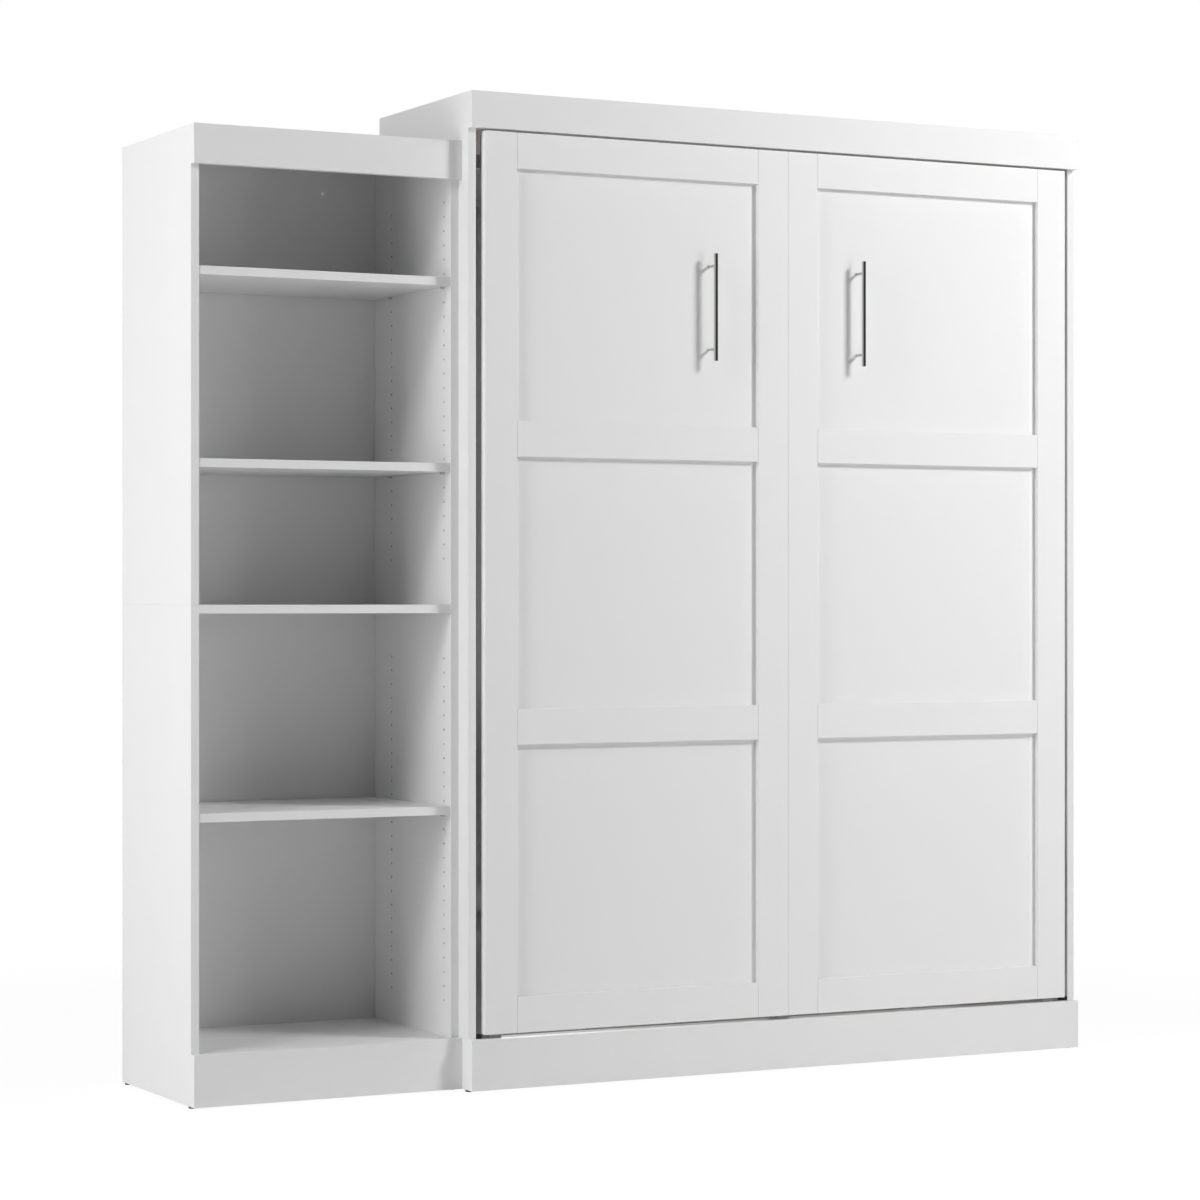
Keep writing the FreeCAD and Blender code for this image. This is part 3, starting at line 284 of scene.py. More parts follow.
class Finish:
    """A material under construction, with one method that adds any node."""

    def __init__(self, owner):
        owner.use_nodes = True
        self.owner = owner
        self.tree = owner.node_tree
        self.tree.nodes.clear()

    def node(self, kind, settings=None, inputs=None, output=0):
        """Add a node, set its settings and then its sockets, and return one output."""
        node = self.tree.nodes.new(kind)
        for key, setting in (settings or {}).items():
            if key == "stops":
                for stop, (place, shade) in zip(node.color_ramp.elements, setting):
                    stop.position = place
                    stop.color = (shade, shade, shade, 1)
            else:
                setattr(node, key, setting)
        for key, given in (inputs or {}).items():
            if isinstance(given, Value):
                self.tree.links.new(given.socket, node.inputs[key])
            else:
                node.inputs[key].default_value = given
        return None if output is None else Value(self, node.outputs[output])

    def place(self, scale=(1, 1, 1)):
        """The piece's own coordinates in metres, stretched by a scale for each axis."""
        spot = self.node("ShaderNodeTexCoord", output="Object")
        return self.node("ShaderNodeMapping", {}, {"Vector": spot, "Scale": scale})

    def noise(self, scale, stretch=(1, 1, 1), detail=3.0, roughness=0.55):
        """A soft random value from 0 to 1."""
        sockets = {"Vector": self.place(stretch), "Scale": scale, "Detail": detail}
        sockets["Roughness"] = roughness
        return self.node("ShaderNodeTexNoise", {}, sockets)

    def along(self, axis, share):
        """Scales that draw a pattern out along one axis, which gets a share of the others' scale."""
        return tuple(share if name == axis else 1.0 for name in "xyz")

    def between(self, value, low, high):
        """A value from 0 to 1 made to run from low to high."""
        return low + (high - low) * value

    def ramp(self, value, start, end, first=0.0, last=1.0):
        """A value made to run from first to last between two of its own values."""
        return self.node("ShaderNodeValToRGB", {"stops": ((start, first), (end, last))}, {"Fac": value})

    def dot(self, vector, axis):
        """How far a vector points along an axis."""
        return self.node("ShaderNodeVectorMath", {"operation": "DOT_PRODUCT"}, {0: vector, 1: axis}, "Value")

    def facing(self, axis):
        """1 on faces turned along an axis, either way, and 0 on the others."""
        normal = self.node("ShaderNodeNewGeometry", output="Normal")
        share = self.dot(normal, axis)
        return self.ramp(share.math("ABSOLUTE", share), start=0.7, end=0.9)

    def blend(self, factor, first, second):
        """A colour between two colours."""
        return self.node("ShaderNodeMix", {"data_type": "RGBA"}, {0: factor, 6: first, 7: second}, 2)

    def bump(self, height, distance):
        """A normal that a height from 0 to 1 disturbs over a distance in metres."""
        return self.node("ShaderNodeBump", {}, {"Height": height, "Distance": distance})

    def surface(self, **sockets):
        """End the material in a Principled shader with the given sockets."""
        named = {key.replace("_", " ").title(): given for key, given in sockets.items()}
        if "Ior" in named:
            named["IOR"] = named.pop("Ior")
        shader = self.node("ShaderNodeBsdfPrincipled", {}, named, "BSDF")
        return self.end("ShaderNodeOutputMaterial", shader)

    def end(self, kind, shader):
        """Lead a shader to the output of the material or world, and return the material or world."""
        self.node(kind, {}, {"Surface": shader}, None)
        return self.owner


def opaque(colour, shade=1.0):
    """A colour with its alpha, darker or lighter by a factor."""
    return (colour[0] * shade, colour[1] * shade, colour[2] * shade, 1.0)


# Finishes


def melamine(name, colour, along):
    """White melamine with a faint grain that is embossed along the board."""
    finish = Finish(bpy.data.materials.new(name))
    grain = finish.noise(scale=1500.0, stretch=finish.along(along, 0.025), detail=4.0, roughness=0.6)
    drift = finish.noise(scale=9.0, stretch=finish.along(along, 0.12), detail=2.0)
    white = finish.blend(drift, opaque(colour, shade=0.985), opaque(colour))
    rough = finish.between(grain, low=0.36, high=0.46)
    normal = finish.bump(finish.ramp(grain, start=0.35, end=0.7), distance=0.00006)
    return finish.surface(base_color=white, roughness=rough, normal=normal, ior=1.5)


def foil(name, colour, along):
    """Satin white foil of the bed face, smoother than the melamine."""
    finish = Finish(bpy.data.materials.new(name))
    grain = finish.noise(scale=900.0, stretch=finish.along(along, 0.03), roughness=0.5)
    drift = finish.noise(scale=5.0, detail=2.0)
    white = finish.blend(drift, opaque(colour, shade=0.988), opaque(colour))
    rough = finish.between(grain, low=0.32, high=0.42)
    normal = finish.bump(grain, distance=0.00003)
    return finish.surface(base_color=white, roughness=rough, normal=normal, ior=1.48)


def particle_board(name, colour):
    """Raw particle board: pressed chips of several browns with small open pores, whose darkness is painted shade
    in the pits.
    """
    finish = Finish(bpy.data.materials.new(name))
    cells = finish.node("ShaderNodeTexVoronoi", {}, {"Vector": finish.place(), "Scale": 420.0}, "Color")
    chips = finish.node("ShaderNodeRGBToBW", {}, {"Color": cells})
    clouds = finish.noise(scale=160.0, detail=4.0, roughness=0.7)
    brown = finish.blend(0.6 * chips + 0.4 * clouds, opaque(colour, shade=0.62), opaque(colour, shade=1.25))
    pores = finish.ramp(finish.noise(scale=700.0, detail=2.0), start=0.36, end=0.46)
    # The pores are painted near black as painted shade in the pits, since the bump alone casts no shade into them
    brown_with_painted_pore_shade = finish.blend(pores, opaque(colour, shade=0.3), brown)
    normal = finish.bump(clouds + 0.6 * pores, distance=0.0004)
    return finish.surface(base_color=brown_with_painted_pore_shade, roughness=0.85, normal=normal)


def brushed_steel(name, colour, around, roughness):
    """Metal with fine brush lines that run across the given axis."""
    finish = Finish(bpy.data.materials.new(name))
    across = tuple(1.0 if axis == around else 0.02 for axis in "xyz")
    lines = finish.noise(scale=9000.0, stretch=across, roughness=0.6)
    smudge = finish.noise(scale=30.0)
    tone = finish.blend(lines, opaque(colour, shade=0.9), opaque(colour, shade=1.05))
    rough = roughness + 0.03 * lines + 0.02 * smudge
    normal = finish.bump(lines, distance=0.000002)
    return finish.surface(base_color=tone, metallic=1.0, roughness=rough, normal=normal)


def powder_coat(name, colour, roughness):
    """Textured powder coat with a fine orange peel and a faint drift in its grey."""
    finish = Finish(bpy.data.materials.new(name))
    peel = finish.noise(scale=900.0, detail=2.0, roughness=0.5)
    drift = finish.noise(scale=12.0)
    tone = finish.blend(drift, opaque(colour, shade=0.9), opaque(colour, shade=1.12))
    rough = finish.between(peel, low=roughness, high=roughness + 0.14)
    normal = finish.bump(peel, distance=0.00012)
    return finish.surface(base_color=tone, roughness=rough, normal=normal, ior=1.5)


def plated(name, colour, roughness):
    """Bright plated metal with faint clouding."""
    finish = Finish(bpy.data.materials.new(name))
    clouds = finish.noise(scale=120.0, detail=4.0, roughness=0.65)
    tone = finish.blend(clouds, opaque(colour, shade=0.88), opaque(colour, shade=1.06))
    rough = finish.between(clouds, low=roughness, high=roughness + 0.16)
    normal = finish.bump(clouds, distance=0.00001)
    return finish.surface(base_color=tone, metallic=1.0, roughness=rough, normal=normal)


def moulded(name, colour, roughness, grit):
    """Moulded plastic or rubber with a fine grit of a given depth."""
    finish = Finish(bpy.data.materials.new(name))
    specks = finish.noise(scale=2600.0, detail=2.0, roughness=0.6)
    clouds = finish.noise(scale=60.0)
    tone = finish.blend(clouds, opaque(colour, shade=0.85), opaque(colour, shade=1.2))
    rough = finish.between(specks, low=roughness, high=roughness + 0.12)
    normal = finish.bump(specks, distance=grit)
    return finish.surface(base_color=tone, roughness=rough, normal=normal)


def birch_ply(name, colour, plies):
    """Lacquered birch veneer with grain along X, and thin dark plies on the long edges."""
    finish = Finish(bpy.data.materials.new(name))
    streaks = finish.noise(scale=420.0, stretch=finish.along("x", 0.03), detail=5.0, roughness=0.65)
    flame = finish.noise(scale=26.0, stretch=finish.along("x", 0.12), roughness=0.6)
    figure = finish.ramp(0.65 * streaks + 0.35 * flame, start=0.3, end=0.72)
    veneer = finish.blend(figure, opaque(colour, shade=0.72), opaque(colour, shade=1.1))
    through = finish.node("ShaderNodeAttribute", {"attribute_name": "through"}, {}, "Fac")
    stack = plies * through
    dark = finish.ramp(stack.math("FRACT", stack), start=0.46, end=0.56)
    layers = finish.blend(dark, opaque(colour), opaque(colour, shade=0.42))
    tone = finish.blend(finish.facing(Z), veneer, layers)
    rough = finish.between(streaks, low=0.34, high=0.48)
    normal = finish.bump(streaks, distance=0.00008)
    return finish.surface(base_color=tone, roughness=rough, normal=normal)


# Each finish's maker, its colour and the maker's own settings: the grain's axis, the roughness and the grit

FINISHES = {
    "board_upright": (melamine, "board_white", "z"),
    "board_level": (melamine, "board_white", "x"),
    "board_raw": (particle_board, "raw_board"),
    "face_upright": (foil, "face_white", "z"),
    "face_level": (foil, "face_white", "x"),
    "pull_satin": (brushed_steel, "pull_steel", "z", 0.04),
    "frame_coat": (powder_coat, "frame_steel", 0.42),
    "plate_zinc": (plated, "plate_steel", 0.3),
    "strut_enamel": (moulded, "black", 0.14, 0.00001),
    "rod_chrome": (plated, "chrome", 0.05),
    "slat_birch": (birch_ply, "birch", PLY_PAIRS),
    "plastic_black": (moulded, "black", 0.45, 0.00004),
    "bush_nylon": (moulded, "nylon", 0.4, 0.00002),
    "pin_nickel": (plated, "nickel", 0.2),
    "rubber_black": (moulded, "black", 0.72, 0.00006),
    "rubber_grey": (moulded, "grey", 0.72, 0.00006),
}


def material(name):
    """The material of a finish, made the first time that it is asked for."""
    make, colour, *settings = FINISHES[name]
    tints = bpy.context.scene.wall_bed_colours
    return bpy.data.materials.get(name) or make(name, getattr(tints, colour), *settings)


# Mesh helpers


def node_copy(*nodes):
    """One bmesh of some CAD nodes, with loose triangles merged and flat faces whole again."""
    mesh = bmesh.new()
    for node in nodes:
        mesh.from_mesh(frame["nodes"][node].data)
    bmesh.ops.remove_doubles(mesh, verts=mesh.verts, dist=MERGE)
    bmesh.ops.dissolve_limit(mesh, angle_limit=FLAT, verts=mesh.verts, edges=mesh.edges,
                             use_dissolve_boundaries=False, delimit=set())
    return mesh


def block(mesh, middle, size):
    """A box centred on a place."""
    place = Matrix.Translation(middle) @ Matrix.Diagonal(size.to_4d())
    return bmesh.ops.create_cube(mesh, size=1.0, matrix=place)["verts"]


def soften(mesh, radius, segments, shortest=0.0):
    """Round the convex sharp edges that are longer than a length."""
    sharp = [edge for edge in mesh.edges
             if len(edge.link_faces) == 2 and edge.is_convex
             and edge.calc_face_angle(0.0) > CREASE and edge.calc_length() > shortest]
    bmesh.ops.bevel(mesh, geom=sharp, offset=radius, offset_type="OFFSET", segments=segments,
                    profile=0.5, affect="EDGES", clamp_overlap=True, material=-1)


def drum(mesh, place, axis, radius, depth, sides=ROUND_SIDES, top=None):
    """A closed round bar centred on a place, along an axis, that may taper to a top radius."""
    turn = Z.rotation_difference(axis).to_matrix().to_4x4()
    made = bmesh.ops.create_cone(mesh, cap_ends=True, segments=sides, radius1=radius,
                                 radius2=radius if top is None else top, depth=depth,
                                 matrix=Matrix.Translation(place) @ turn)
    return made["verts"]


def finished(name, mesh, finishes, body, replaces=(), curved=False):
    """Turn a bmesh into a piece that rides on a body and may stand for CAD nodes."""
    for edge in mesh.edges:
        edge.smooth = edge.calc_face_angle(0.0) < CREASE + FLAT
    for face in mesh.faces:
        face.smooth = curved
    data = bpy.data.meshes.new(name)
    mesh.to_mesh(data)
    mesh.free()
    for finish in finishes:
        data.materials.append(material(finish))
    piece = bpy.data.objects.new(name, data)
    bpy.context.scene.collection.objects.link(piece)
    if curved:
        piece.modifiers.new("even_shading", "WEIGHTED_NORMAL").keep_sharp = True
    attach(piece, body)
    if replaces:
        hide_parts(*replaces)
    return piece


def finish_node(node, name, finish, radius, shortest=0.0, curved=False):
    """Replace one CAD node by a copy with rounded edges and a finish."""
    mesh = node_copy(node)
    soften(mesh, radius, bpy.context.scene.wall_bed_sizes.edge_segments, shortest)
    return finished(name, mesh, (finish,), body_of(node), (node,), curved)


def parts_of(node):
    """The lowest and highest corners of each separate solid in a node."""
    mesh = node_copy(node)
    left = set(mesh.verts)
    parts = []
    while left:
        island, front = set(), [left.pop()]
        while front:
            vertex = front.pop()
            island.add(vertex)
            for edge in vertex.link_edges:
                other = edge.other_vert(vertex)
                if other in left:
                    left.remove(other)
                    front.append(other)
        spots = [vertex.co for vertex in island]
        low = Vector(min(spot[axis] for spot in spots) for axis in range(3))
        high = Vector(max(spot[axis] for spot in spots) for axis in range(3))
        parts.append((low, high))
    mesh.free()
    return parts


def refill(mesh, faces):
    """Replace flat faces with holes in them by triangles, so that none crosses a hole."""
    chosen = set(faces)
    rims = [edge for edge in {edge for face in faces for edge in face.edges}
            if sum(face in chosen for face in edge.link_faces) == 1]
    normal = faces[0].normal.copy()
    bmesh.ops.delete(mesh, geom=faces, context="FACES")
    bmesh.ops.triangle_fill(mesh, use_beauty=True, edges=rims, normal=normal)


def drill(mesh, radius):
    """Turn the square pin holes of a bookcase side into round ones with raw walls."""
    floors = [face for face in mesh.faces
              if len(face.verts) == 4 and abs(face.normal.x) > STRAIGHT
              and face.calc_area() < (HOLE_SIDE_SHARE * radius) ** 2]
    centres = [floor.calc_center_median() for floor in floors]
    rims = set()
    for floor in floors:
        floor.material_index = 1
        for edge in floor.edges:
            wall = next(face for face in edge.link_faces if face is not floor)
            wall.material_index = 1
            rims.add(edge)
            rims.update(other for other in wall.edges if not set(other.verts) & set(edge.verts))
    bmesh.ops.subdivide_edges(mesh, edges=list(rims), cuts=HOLE_CUTS)
    for floor, centre in zip(floors, centres):
        for vertex in floor.verts:
            rise = next(edge for edge in vertex.link_edges if floor not in edge.link_faces)
            for point in rise.verts:
                axle = Vector((point.co.x, centre.y, centre.z))
                point.co = axle + (point.co - axle).normalized() * radius
    out = floors[0].normal
    refill(mesh, [face for face in mesh.faces if face.normal.dot(out) > STRAIGHT and face not in floors])


def bare_edges(mesh, thin):
    """Give the second material to the rear and bottom edges, which have no band."""
    for face in mesh.faces:
        rear = thin != "y" and face.normal.y > STRAIGHT
        below = thin == "x" and face.normal.z < -STRAIGHT
        if rear or below:
            face.material_index = 1


def screw(mesh, place, axis, radius):
    """A low screw head with a round socket, seated at a place and facing along an axis."""
    height = radius * SCREW_HEIGHT_SHARE
    before = set(mesh.faces)
    drum(mesh, place + axis * height / 2, axis, radius, height, SMALL_SIDES, radius * SCREW_TOP_SHARE)
    cap = next(face for face in set(mesh.faces) - before if face.normal.dot(axis) > STRAIGHT)
    bmesh.ops.inset_individual(mesh, faces=[cap], thickness=radius * SOCKET_RIM_SHARE)
    bmesh.ops.translate(mesh, verts=cap.verts, vec=axis * -height * SOCKET_DEPTH_SHARE)


def washer(mesh, place, axis, radius, thickness):
    """A thin disc with a rounded rim."""
    disc = drum(mesh, place, axis, radius, thickness)
    rims = [edge for edge in {edge for vertex in disc for edge in vertex.link_edges}
            if edge.calc_face_angle(0.0) > CREASE]
    bmesh.ops.bevel(mesh, geom=rims, offset=thickness * WASHER_ROUND_SHARE, segments=SMALL_SEGMENTS,
                    profile=0.5, affect="EDGES", material=-1)


def weld(mesh, start, end, radius):
    """A rippled weld bead along a seam."""
    run = end - start
    ripples = max(FEWEST_RIPPLES, round(run.length / (radius * RIPPLE_SHARE)))
    bead = drum(mesh, (start + end) / 2, run.normalized(), radius, run.length, BEAD_SIDES)
    along = [edge for edge in {edge for vertex in bead for edge in vertex.link_edges}
             if abs((edge.verts[0].co - edge.verts[1].co).dot(run)) > run.length_squared / 2]
    made = bmesh.ops.subdivide_edges(mesh, edges=along, cuts=ripples * 2 - 1)
    for vertex in (item for item in made["geom_inner"] if isinstance(item, bmesh.types.BMVert)):
        travelled = (vertex.co - start).dot(run) / run.length_squared
        axle = start + run * travelled
        swell = BEAD_WAIST_SHARE + BEAD_SWELL_SHARE * abs(math.sin(travelled * ripples * math.pi))
        vertex.co = axle + (vertex.co - axle) * swell


def joint_place(name):
    """Where a joint's axis stands, in metres."""
    return Vector(next(joint["pos_m"] for joint in frame["joints"] if joint["name"] == name))


def joint_axis(name):
    """The direction of a joint's axis."""
    return Vector(next(joint["axis"] for joint in frame["joints"] if joint["name"] == name))


def inward(side):
    """The direction from one cabinet side towards the middle of the bed."""
    return X if side == "left" else -X


# Operators


class BuildOperator(bpy.types.Operator):
    """What all the operators of this file have in common"""

    bl_options = {"REGISTER", "UNDO"}


class WALLBED_OT_boards(BuildOperator):
    """Build the white boards of the cabinet and the bookcase"""

    bl_idname = "wallbed.boards"
    bl_label = "Boards"

    def execute(self, context):
        for node in UPRIGHT_BOARDS:
            self.board(context.scene.wall_bed_sizes, node, "board_upright")
        for node in LEVEL_BOARDS:
            self.board(context.scene.wall_bed_sizes, node, "board_level")
        return {"FINISHED"}

    def board(self, sizes, node, grain):
        """One board with eased edges, raw edges where no band is glued, and round pin holes"""
        low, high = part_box(node)
        spans = high - low
        thin = "xyz"[min(range(3), key=lambda axis: spans[axis])]
        mesh = node_copy(node)
        soften(mesh, sizes.board_edge, sizes.edge_segments, sizes.shortest_edge)
        if node.startswith("case_") and "side" in node:
            drill(mesh, sizes.hole_radius)
        bare_edges(mesh, thin)
        finished(f"{node}_panel", mesh, (grain, "board_raw"), body_of(node), (node,))


class WALLBED_OT_face(BuildOperator):
    """Build the bed face: two panels with their stiles and cross rails"""

    bl_idname = "wallbed.face"
    bl_label = "Bed face"

    def execute(self, context):
        edge = context.scene.wall_bed_sizes.strip_edge
        for node in FACE_PANELS + STILES:
            finish_node(node, f"{node}_foiled", "face_upright", edge)
        for node in CROSS_RAILS:
            finish_node(node, f"{node}_foiled", "face_level", edge)
        return {"FINISHED"}


class WALLBED_OT_pulls(BuildOperator):
    """Build the two bar pulls with their posts"""

    bl_idname = "wallbed.pulls"
    bl_label = "Bar pulls"

    def execute(self, context):
        sizes = context.scene.wall_bed_sizes
        for side in SIDES:
            low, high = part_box(f"{side}_pull")
            radius = (high.x - low.x) / 2
            middle = Vector(((low.x + high.x) / 2, low.y + radius, (low.z + high.z) / 2))
            mesh = bmesh.new()
            drum(mesh, middle, Z, radius, high.z - low.z, PULL_SIDES)
            soften(mesh, sizes.bar_edge, sizes.edge_segments)
            reach = high.y - middle.y
            for end in (-1, 1):
                root = middle + Z * end * sizes.post_spacing / 2
                drum(mesh, root + Y * reach / 2, Y, sizes.post_radius, reach)
            finished(f"{side}_bar_pull", mesh, ("pull_satin",), "bed", (f"{side}_pull",),
                     curved=True)
        return {"FINISHED"}


class WALLBED_OT_small_fittings(BuildOperator):
    """Build the shelf pins, the glides and the rubber bumpers and stops"""

    bl_idname = "wallbed.small_fittings"
    bl_label = "Pins, glides and rubber"

    def execute(self, context):
        sizes = context.scene.wall_bed_sizes
        self.shelf_pins(sizes)
        self.glides(sizes)
        for node, finish in (("side_bumpers", "rubber_black"), ("closing_stops", "rubber_grey")):
            finish_node(node, f"{node}_moulded", finish, sizes.rubber_edge)
        return {"FINISHED"}

    def shelf_pins(self, sizes):
        """Turned pins with a collar that seats on the board"""
        low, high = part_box("case_middle")
        case_middle = (low.x + high.x) / 2
        mesh = bmesh.new()
        for low, high in parts_of("shelf_pins"):
            middle = (low + high) / 2
            out = X if middle.x < case_middle else -X
            reach = (high.x - low.x) / 2
            collar = middle + out * sizes.collar_thick / 2
            drum(mesh, middle, X, sizes.pin_radius, reach * 2, SMALL_SIDES)
            drum(mesh, collar, X, sizes.collar_radius, sizes.collar_thick, SMALL_SIDES)
        soften(mesh, sizes.plate_edge, SMALL_SEGMENTS)
        finished("shelf_pins_turned", mesh, ("pin_nickel",), "root", ("shelf_pins",),
                 curved=True)

    def glides(self, sizes):
        """Nailed glides with a rounded sole and a nail head in the middle"""
        mesh = bmesh.new()
        nails = bmesh.new()
        for low, high in parts_of("glides"):
            middle = (low + high) / 2
            radius = (high.x - low.x) / 2
            height = high.z - low.z
            before = set(mesh.faces)
            drum(mesh, middle, Z, radius * GLIDE_SOLE_SHARE, height, top=radius)
            sole = next(face for face in set(mesh.faces) - before if face.normal.z < -STRAIGHT)
            bmesh.ops.inset_individual(mesh, faces=[sole], thickness=radius * SOLE_RIM_SHARE)
            bmesh.ops.translate(mesh, verts=sole.verts, vec=Z * sizes.sole_depth)
            nail = Vector((middle.x, middle.y, low.z + sizes.sole_depth))
            washer(nails, nail, Z, radius * NAIL_SHARE, sizes.nail_thick)
        soften(mesh, sizes.glide_edge, sizes.edge_segments)
        finished("glides_moulded", mesh, ("plastic_black",), "root", ("glides",),
                 curved=True)
        finished("glide_nails", nails, ("pin_nickel",), "root", curved=True)


class WALLBED_OT_slats(BuildOperator):
    """Build the bowed ply slats and their moulded holders"""

    bl_idname = "wallbed.slats"
    bl_label = "Slats"

    def execute(self, context):
        sizes = context.scene.wall_bed_sizes
        mesh = bmesh.new()
        through = mesh.verts.layers.float.new("through")
        for low, high in parts_of("slats"):
            self.slat(mesh, through, low, high, sizes)
        finished("slats_bowed", mesh, ("slat_birch",), "bed", ("slats",), curved=True)
        finish_node("slat_holders", "slat_holders_moulded", "plastic_black", sizes.holder_edge)
        return {"FINISHED"}

    def slat(self, mesh, through, low, high, sizes):
        """One slat: a flat strip with rounded long edges, cut across and bent to its bow"""
        thick = sizes.slat_thick
        bow = high.y - low.y - thick
        middle = Vector(((low.x + high.x) / 2, low.y + thick / 2, (low.z + high.z) / 2))
        size = Vector((high.x - low.x, thick, high.z - low.z))
        strip = block(mesh, middle, size)
        edges = {edge for vertex in strip for edge in vertex.link_edges}
        along = [edge for edge in edges if abs(edge.verts[0].co.x - edge.verts[1].co.x) > MERGE]
        made = bmesh.ops.bevel(mesh, geom=along, offset=thick * SLAT_ROUND_SHARE, segments=SLAT_SEGMENTS,
                               profile=0.5, affect="EDGES", material=-1)
        faces = {face for vertex in strip if vertex.is_valid for face in vertex.link_faces}
        faces |= set(made["faces"])
        edges = {edge for face in faces for edge in face.edges}
        faces |= {face for edge in edges for face in edge.link_faces}
        edges = {edge for face in faces for edge in face.edges}
        along = [edge for edge in edges if abs(edge.verts[0].co.x - edge.verts[1].co.x) > size.x / 2]
        made = bmesh.ops.subdivide_edges(mesh, edges=along, cuts=sizes.slat_cuts)
        spots = {vertex for edge in edges if edge.is_valid for vertex in edge.verts}
        spots |= {item for item in made["geom_inner"] if isinstance(item, bmesh.types.BMVert)}
        for vertex in spots:
            vertex[through] = (vertex.co.y - low.y) / thick
            across = (vertex.co.x - middle.x) / (size.x / 2)
            vertex.co.y += bow * (1 - across * across)


class WALLBED_OT_bed_frame(BuildOperator):
    """Build the welded tube frame and the mattress retainers"""

    bl_idname = "wallbed.bed_frame"
    bl_label = "Bed frame"

    def execute(self, context):
        sizes = context.scene.wall_bed_sizes
        for node in FRAME_TUBES:
            finish_node(node, f"{node}_coated", "frame_coat", sizes.tube_edge, sizes.shortest_edge,
                        curved=True)
        for node in RETAINERS:
            finish_node(node, f"{node}_coated", "frame_coat", sizes.plate_edge, curved=True)
        mesh = bmesh.new()
        for node, runs in (("head_rail", "yz"), ("foot_rail", "yz"), ("centre_beam", "yx")):
            self.seams(mesh, node, runs, sizes.weld_radius)
        finished("frame_welds", mesh, ("frame_coat",), "bed", curved=True)
        self.tube_caps(sizes)
        return {"FINISHED"}

    def tube_caps(self, sizes):
        """Plastic plugs in the open ends of the side rails"""
        caps = bmesh.new()
        head_low, head_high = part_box("head_rail")
        wide = head_high.z - head_low.z
        for side in SIDES:
            low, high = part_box(f"bed_rail_{side}")
            outer = high.x if side == "right" else head_low.x - wide
            middle_x = outer - wide / 2 if side == "right" else outer + wide / 2
            middle_y = (head_low.y + head_high.y) / 2
            size = Vector((wide, head_high.y - head_low.y, 0)) - Vector((1, 1, 0)) * sizes.tube_wall * 2
            size.z = sizes.cap_depth
            for end, turn in ((low.z, 1), (high.z, -1)):
                spot = Vector((middle_x, middle_y, end + turn * (size.z / 2 + sizes.plate_edge)))
                block(caps, spot, size)
        faces = [face for face in caps.faces if abs(face.normal.z) > STRAIGHT]
        bmesh.ops.inset_individual(caps, faces=faces, thickness=sizes.cap_rim, depth=-sizes.cap_rim / 2)
        soften(caps, sizes.plate_edge, SMALL_SEGMENTS)
        finished("rail_caps", caps, ("plastic_black",), "bed")

    def seams(self, mesh, node, runs, radius):
        """Weld beads round both ends of a tube, on the sides that can be seen"""
        low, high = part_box(node)
        if runs == "yz":
            for x, out in ((low.x, X), (high.x, -X)):
                for z in (low.z, high.z):
                    weld(mesh, Vector((x, low.y, z)), Vector((x, high.y, z)), radius)
                weld(mesh, Vector((x, high.y, low.z)), Vector((x, high.y, high.z)), radius)
        else:
            for z in (low.z, high.z):
                for x in (low.x, high.x):
                    weld(mesh, Vector((x, low.y, z)), Vector((x, high.y, z)), radius)
                weld(mesh, Vector((low.x, high.y, z)), Vector((high.x, high.y, z)), radius)


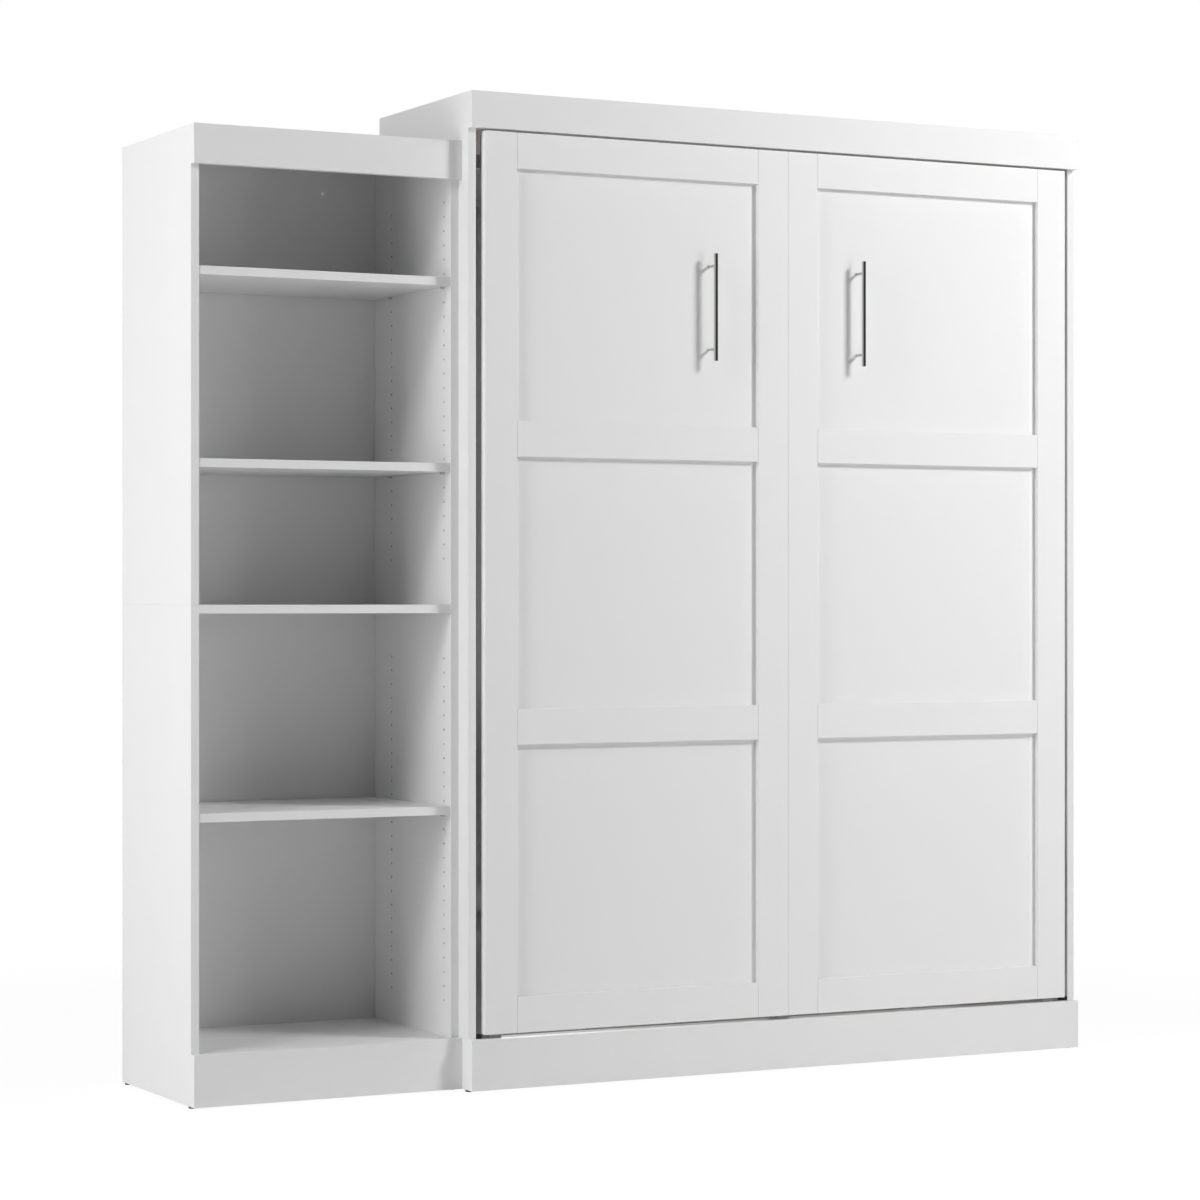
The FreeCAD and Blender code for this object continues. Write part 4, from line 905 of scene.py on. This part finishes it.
class WALLBED_OT_lift_hardware(BuildOperator):
    """Build the pivot plates, brackets, links, legs and gas struts with their fixings"""

    bl_idname = "wallbed.lift_hardware"
    bl_label = "Lift hardware"

    def execute(self, context):
        sizes = context.scene.wall_bed_sizes
        finish_node("pivot_bushes", "pivot_bushes_moulded", "bush_nylon", sizes.plate_edge, curved=True)
        kinds = (
            ("mount_plate", "plate_zinc", sizes.plate_edge),
            ("hinge_bracket", "plate_zinc", sizes.plate_edge),
            ("leg_link", "plate_zinc", sizes.plate_edge),
            ("leg", "frame_coat", sizes.leg_edge),
            ("leg_foot", "plastic_black", sizes.foot_edge),
            ("strut_cylinder", "strut_enamel", sizes.plate_edge),
            ("strut_rod", "rod_chrome", sizes.plate_edge),
        )
        for side in SIDES:
            for kind, finish, edge in kinds:
                finish_node(f"{kind}_{side}", f"{kind}_{side}_finished", finish, edge, curved=True)
            self.fixings(side, sizes)
            self.strut_trim(side, sizes)
        return {"FINISHED"}

    def fixings(self, side, sizes):
        """Screws in the mount plate, and washers on the ends of its pins and of the leg's pin"""
        into = inward(side)
        pivot = joint_place("bed_hinge")
        link = joint_place(f"link_{side}_swing")
        anchor = joint_place(f"cylinder_{side}_swing")
        hip = joint_place(f"leg_{side}_fold")
        low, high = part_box(f"mount_plate_{side}")
        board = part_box(f"cabinet_side_{side}")
        wall_x = board[1].x if side == "left" else board[0].x
        face_x = wall_x + into.x * sizes.mount_plate
        inset = sizes.screw_inset
        off_eye = inset * SCREW_OFF_EYE
        spots = (
            (low.y + inset, low.z + inset),
            (high.y - inset, low.z + inset),
            (high.y - inset, pivot.z + inset * SCREW_ABOVE_PIVOT),
            (high.y - inset, high.z - inset),
            (anchor.y - off_eye, high.z - off_eye),
            (low.y + inset, pivot.z + inset),
        )
        screws = bmesh.new()
        for y, z in spots:
            screw(screws, Vector((face_x, y, z)), into, sizes.screw_radius)
        eye = anchor + into * (sizes.eye_half + sizes.washer_thick)
        link_low, link_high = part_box(f"leg_link_{side}")
        link_x = link_high.x if side == "left" else link_low.x
        foot = Vector((link_x, link.y, link.z)) + into * sizes.washer_thick
        for place in (eye, foot):
            washer(screws, place, X, sizes.washer_radius, sizes.washer_thick)
        finished(f"mount_fixings_{side}", screws, ("pin_nickel",), "root", curved=True)
        crank = link - pivot
        clip = bmesh.new()
        head = Vector((link_x, hip.y + crank.y, hip.z + crank.z)) + into * sizes.washer_thick
        washer(clip, head, X, sizes.washer_radius, sizes.washer_thick)
        finished(f"leg_clip_{side}", clip, ("pin_nickel",), f"leg_{side}", curved=True)

    def strut_trim(self, side, sizes):
        """The rubber seal at the mouth of a gas strut"""
        anchor = joint_place(f"cylinder_{side}_swing")
        up = joint_axis(f"rod_{side}_slide")
        mouth = anchor - up * sizes.strut_tube
        seal = bmesh.new()
        washer(seal, mouth, up, sizes.seal_radius, sizes.seal_thick)
        finished(f"strut_seal_{side}", seal, ("rubber_black",), f"cylinder_{side}",
                 curved=True)


class WALLBED_OT_stage(BuildOperator):
    """Set the camera, the lamps, the floor and the white surround"""

    bl_idname = "wallbed.stage"
    bl_label = "Stage"

    def execute(self, context):
        stage = context.scene.wall_bed_stage
        scene = context.scene
        scene.view_settings.view_transform = "Standard"
        camera = bpy.data.cameras.new("camera")
        camera.lens = stage.camera_lens
        camera.sensor_width = SENSOR_WIDTH
        camera.clip_end = VIEW_LIMIT
        holder = bpy.data.objects.new("camera", camera)
        holder.location = stage.camera_place
        holder.rotation_euler = (math.radians(90), 0, stage.camera_turn)
        scene.collection.objects.link(holder)
        scene.camera = holder
        for name, (place, target, size, power) in LAMPS.items():
            self.lamp(name, place, target, size, getattr(stage, power))
        self.floor(stage)
        self.surround(scene, stage)
        return {"FINISHED"}

    def lamp(self, name, place, target, size, power):
        """A square soft box that faces a target, and that gloss mirrors only from behind the target"""
        data = bpy.data.lights.new(name, "AREA")
        data.size = size
        data.energy = power
        lamp = bpy.data.objects.new(name, data)
        lamp.visible_glossy = place[1] > target[1]
        lamp.location = place
        lamp.rotation_euler = (Vector(target) - Vector(place)).to_track_quat("-Z", "Y").to_euler()
        bpy.context.scene.collection.objects.link(lamp)

    def rays(self, finish):
        """Three values, each 1 for one kind of ray: the camera's, mirrored ones and ones through glass"""
        kinds = ("Is Camera Ray", "Is Glossy Ray", "Is Transmission Ray")
        return [finish.node("ShaderNodeLightPath", output=kind) for kind in kinds]

    def floor(self, stage):
        """A floor that is white to the camera and keeps the object's shadow"""
        mesh = bmesh.new()
        bmesh.ops.create_grid(mesh, x_segments=1, y_segments=1, size=stage.floor_size / 2)
        data = bpy.data.meshes.new("floor")
        mesh.to_mesh(data)
        mesh.free()
        finish = Finish(bpy.data.materials.new("floor_white"))
        paint = finish.node("ShaderNodeBsdfDiffuse", {}, {"Color": opaque((stage.floor_grey,) * 3)})
        reach = finish.node("ShaderNodeVectorMath", {"operation": "LENGTH"}, {0: finish.place()}, "Value")
        away = finish.ramp(reach / FLOOR_REACH, start=0.18, end=0.5)
        strength = finish.between(away, stage.floor_near, stage.floor_far)
        glow = finish.node("ShaderNodeEmission", {}, {"Color": WHITE, "Strength": strength})
        camera, glossy, clear = self.rays(finish)
        seen = camera.math("MAXIMUM", camera, camera.math("MAXIMUM", glossy, clear))
        mix = finish.node("ShaderNodeMixShader", {}, {"Fac": stage.floor_cover * seen, 1: paint, 2: glow})
        data.materials.append(finish.end("ShaderNodeOutputMaterial", mix))
        floor = bpy.data.objects.new("floor", data)
        bpy.context.scene.collection.objects.link(floor)

    def surround(self, scene, stage):
        """White to the camera, and to gloss too except where the dim front of the studio is"""
        world = bpy.data.worlds.new("white_surround")
        scene.world = world
        world.use_nodes = True
        finish = Finish(world)
        toward = finish.node("ShaderNodeTexCoord", output="Generated")
        front = (math.sin(stage.dim_turn), -math.cos(stage.dim_turn), 0)
        ahead = finish.dot(toward, front)
        backdrop = finish.ramp(ahead, start=0.1, end=0.3, first=1.0, last=stage.dim_white)
        camera, glossy, clear = self.rays(finish)
        shown = camera.math("MAXIMUM", camera, camera.math("MAXIMUM", glossy, clear) * backdrop)
        light = finish.node("ShaderNodeBackground", {}, {"Color": WHITE, "Strength": shown})
        finish.end("ShaderNodeOutputWorld", light)


class WALLBED_PT_panel(bpy.types.Panel):
    """Lists the operators that build the wall bed"""

    bl_idname = "WALLBED_PT_panel"
    bl_label = "Wall Bed"
    bl_space_type = "VIEW_3D"
    bl_region_type = "UI"
    bl_category = "Wall Bed"

    def draw(self, context):
        for operator in OPERATORS:
            self.layout.operator(operator.bl_idname)


GROUPS = {
    "wall_bed_sizes": WALLBED_PG_sizes,
    "wall_bed_colours": WALLBED_PG_colours,
    "wall_bed_stage": WALLBED_PG_stage,
}
OPERATORS = (
    WALLBED_OT_boards, WALLBED_OT_face, WALLBED_OT_pulls, WALLBED_OT_small_fittings, WALLBED_OT_slats,
    WALLBED_OT_bed_frame, WALLBED_OT_lift_hardware, WALLBED_OT_stage,
)


def register():
    for kind in (*GROUPS.values(), *OPERATORS, WALLBED_PT_panel):
        bpy.utils.register_class(kind)
    for name, group in GROUPS.items():
        setattr(bpy.types.Scene, name, PointerProperty(type=group))


def unregister():
    for name in GROUPS:
        delattr(bpy.types.Scene, name)
    for kind in reversed((*GROUPS.values(), *OPERATORS, WALLBED_PT_panel)):
        bpy.utils.unregister_class(kind)


def main():
    register()
    for operator in OPERATORS:
        group, name = operator.bl_idname.split(".")
        getattr(getattr(bpy.ops, group), name)()


if __name__ == "__main__":
    main()
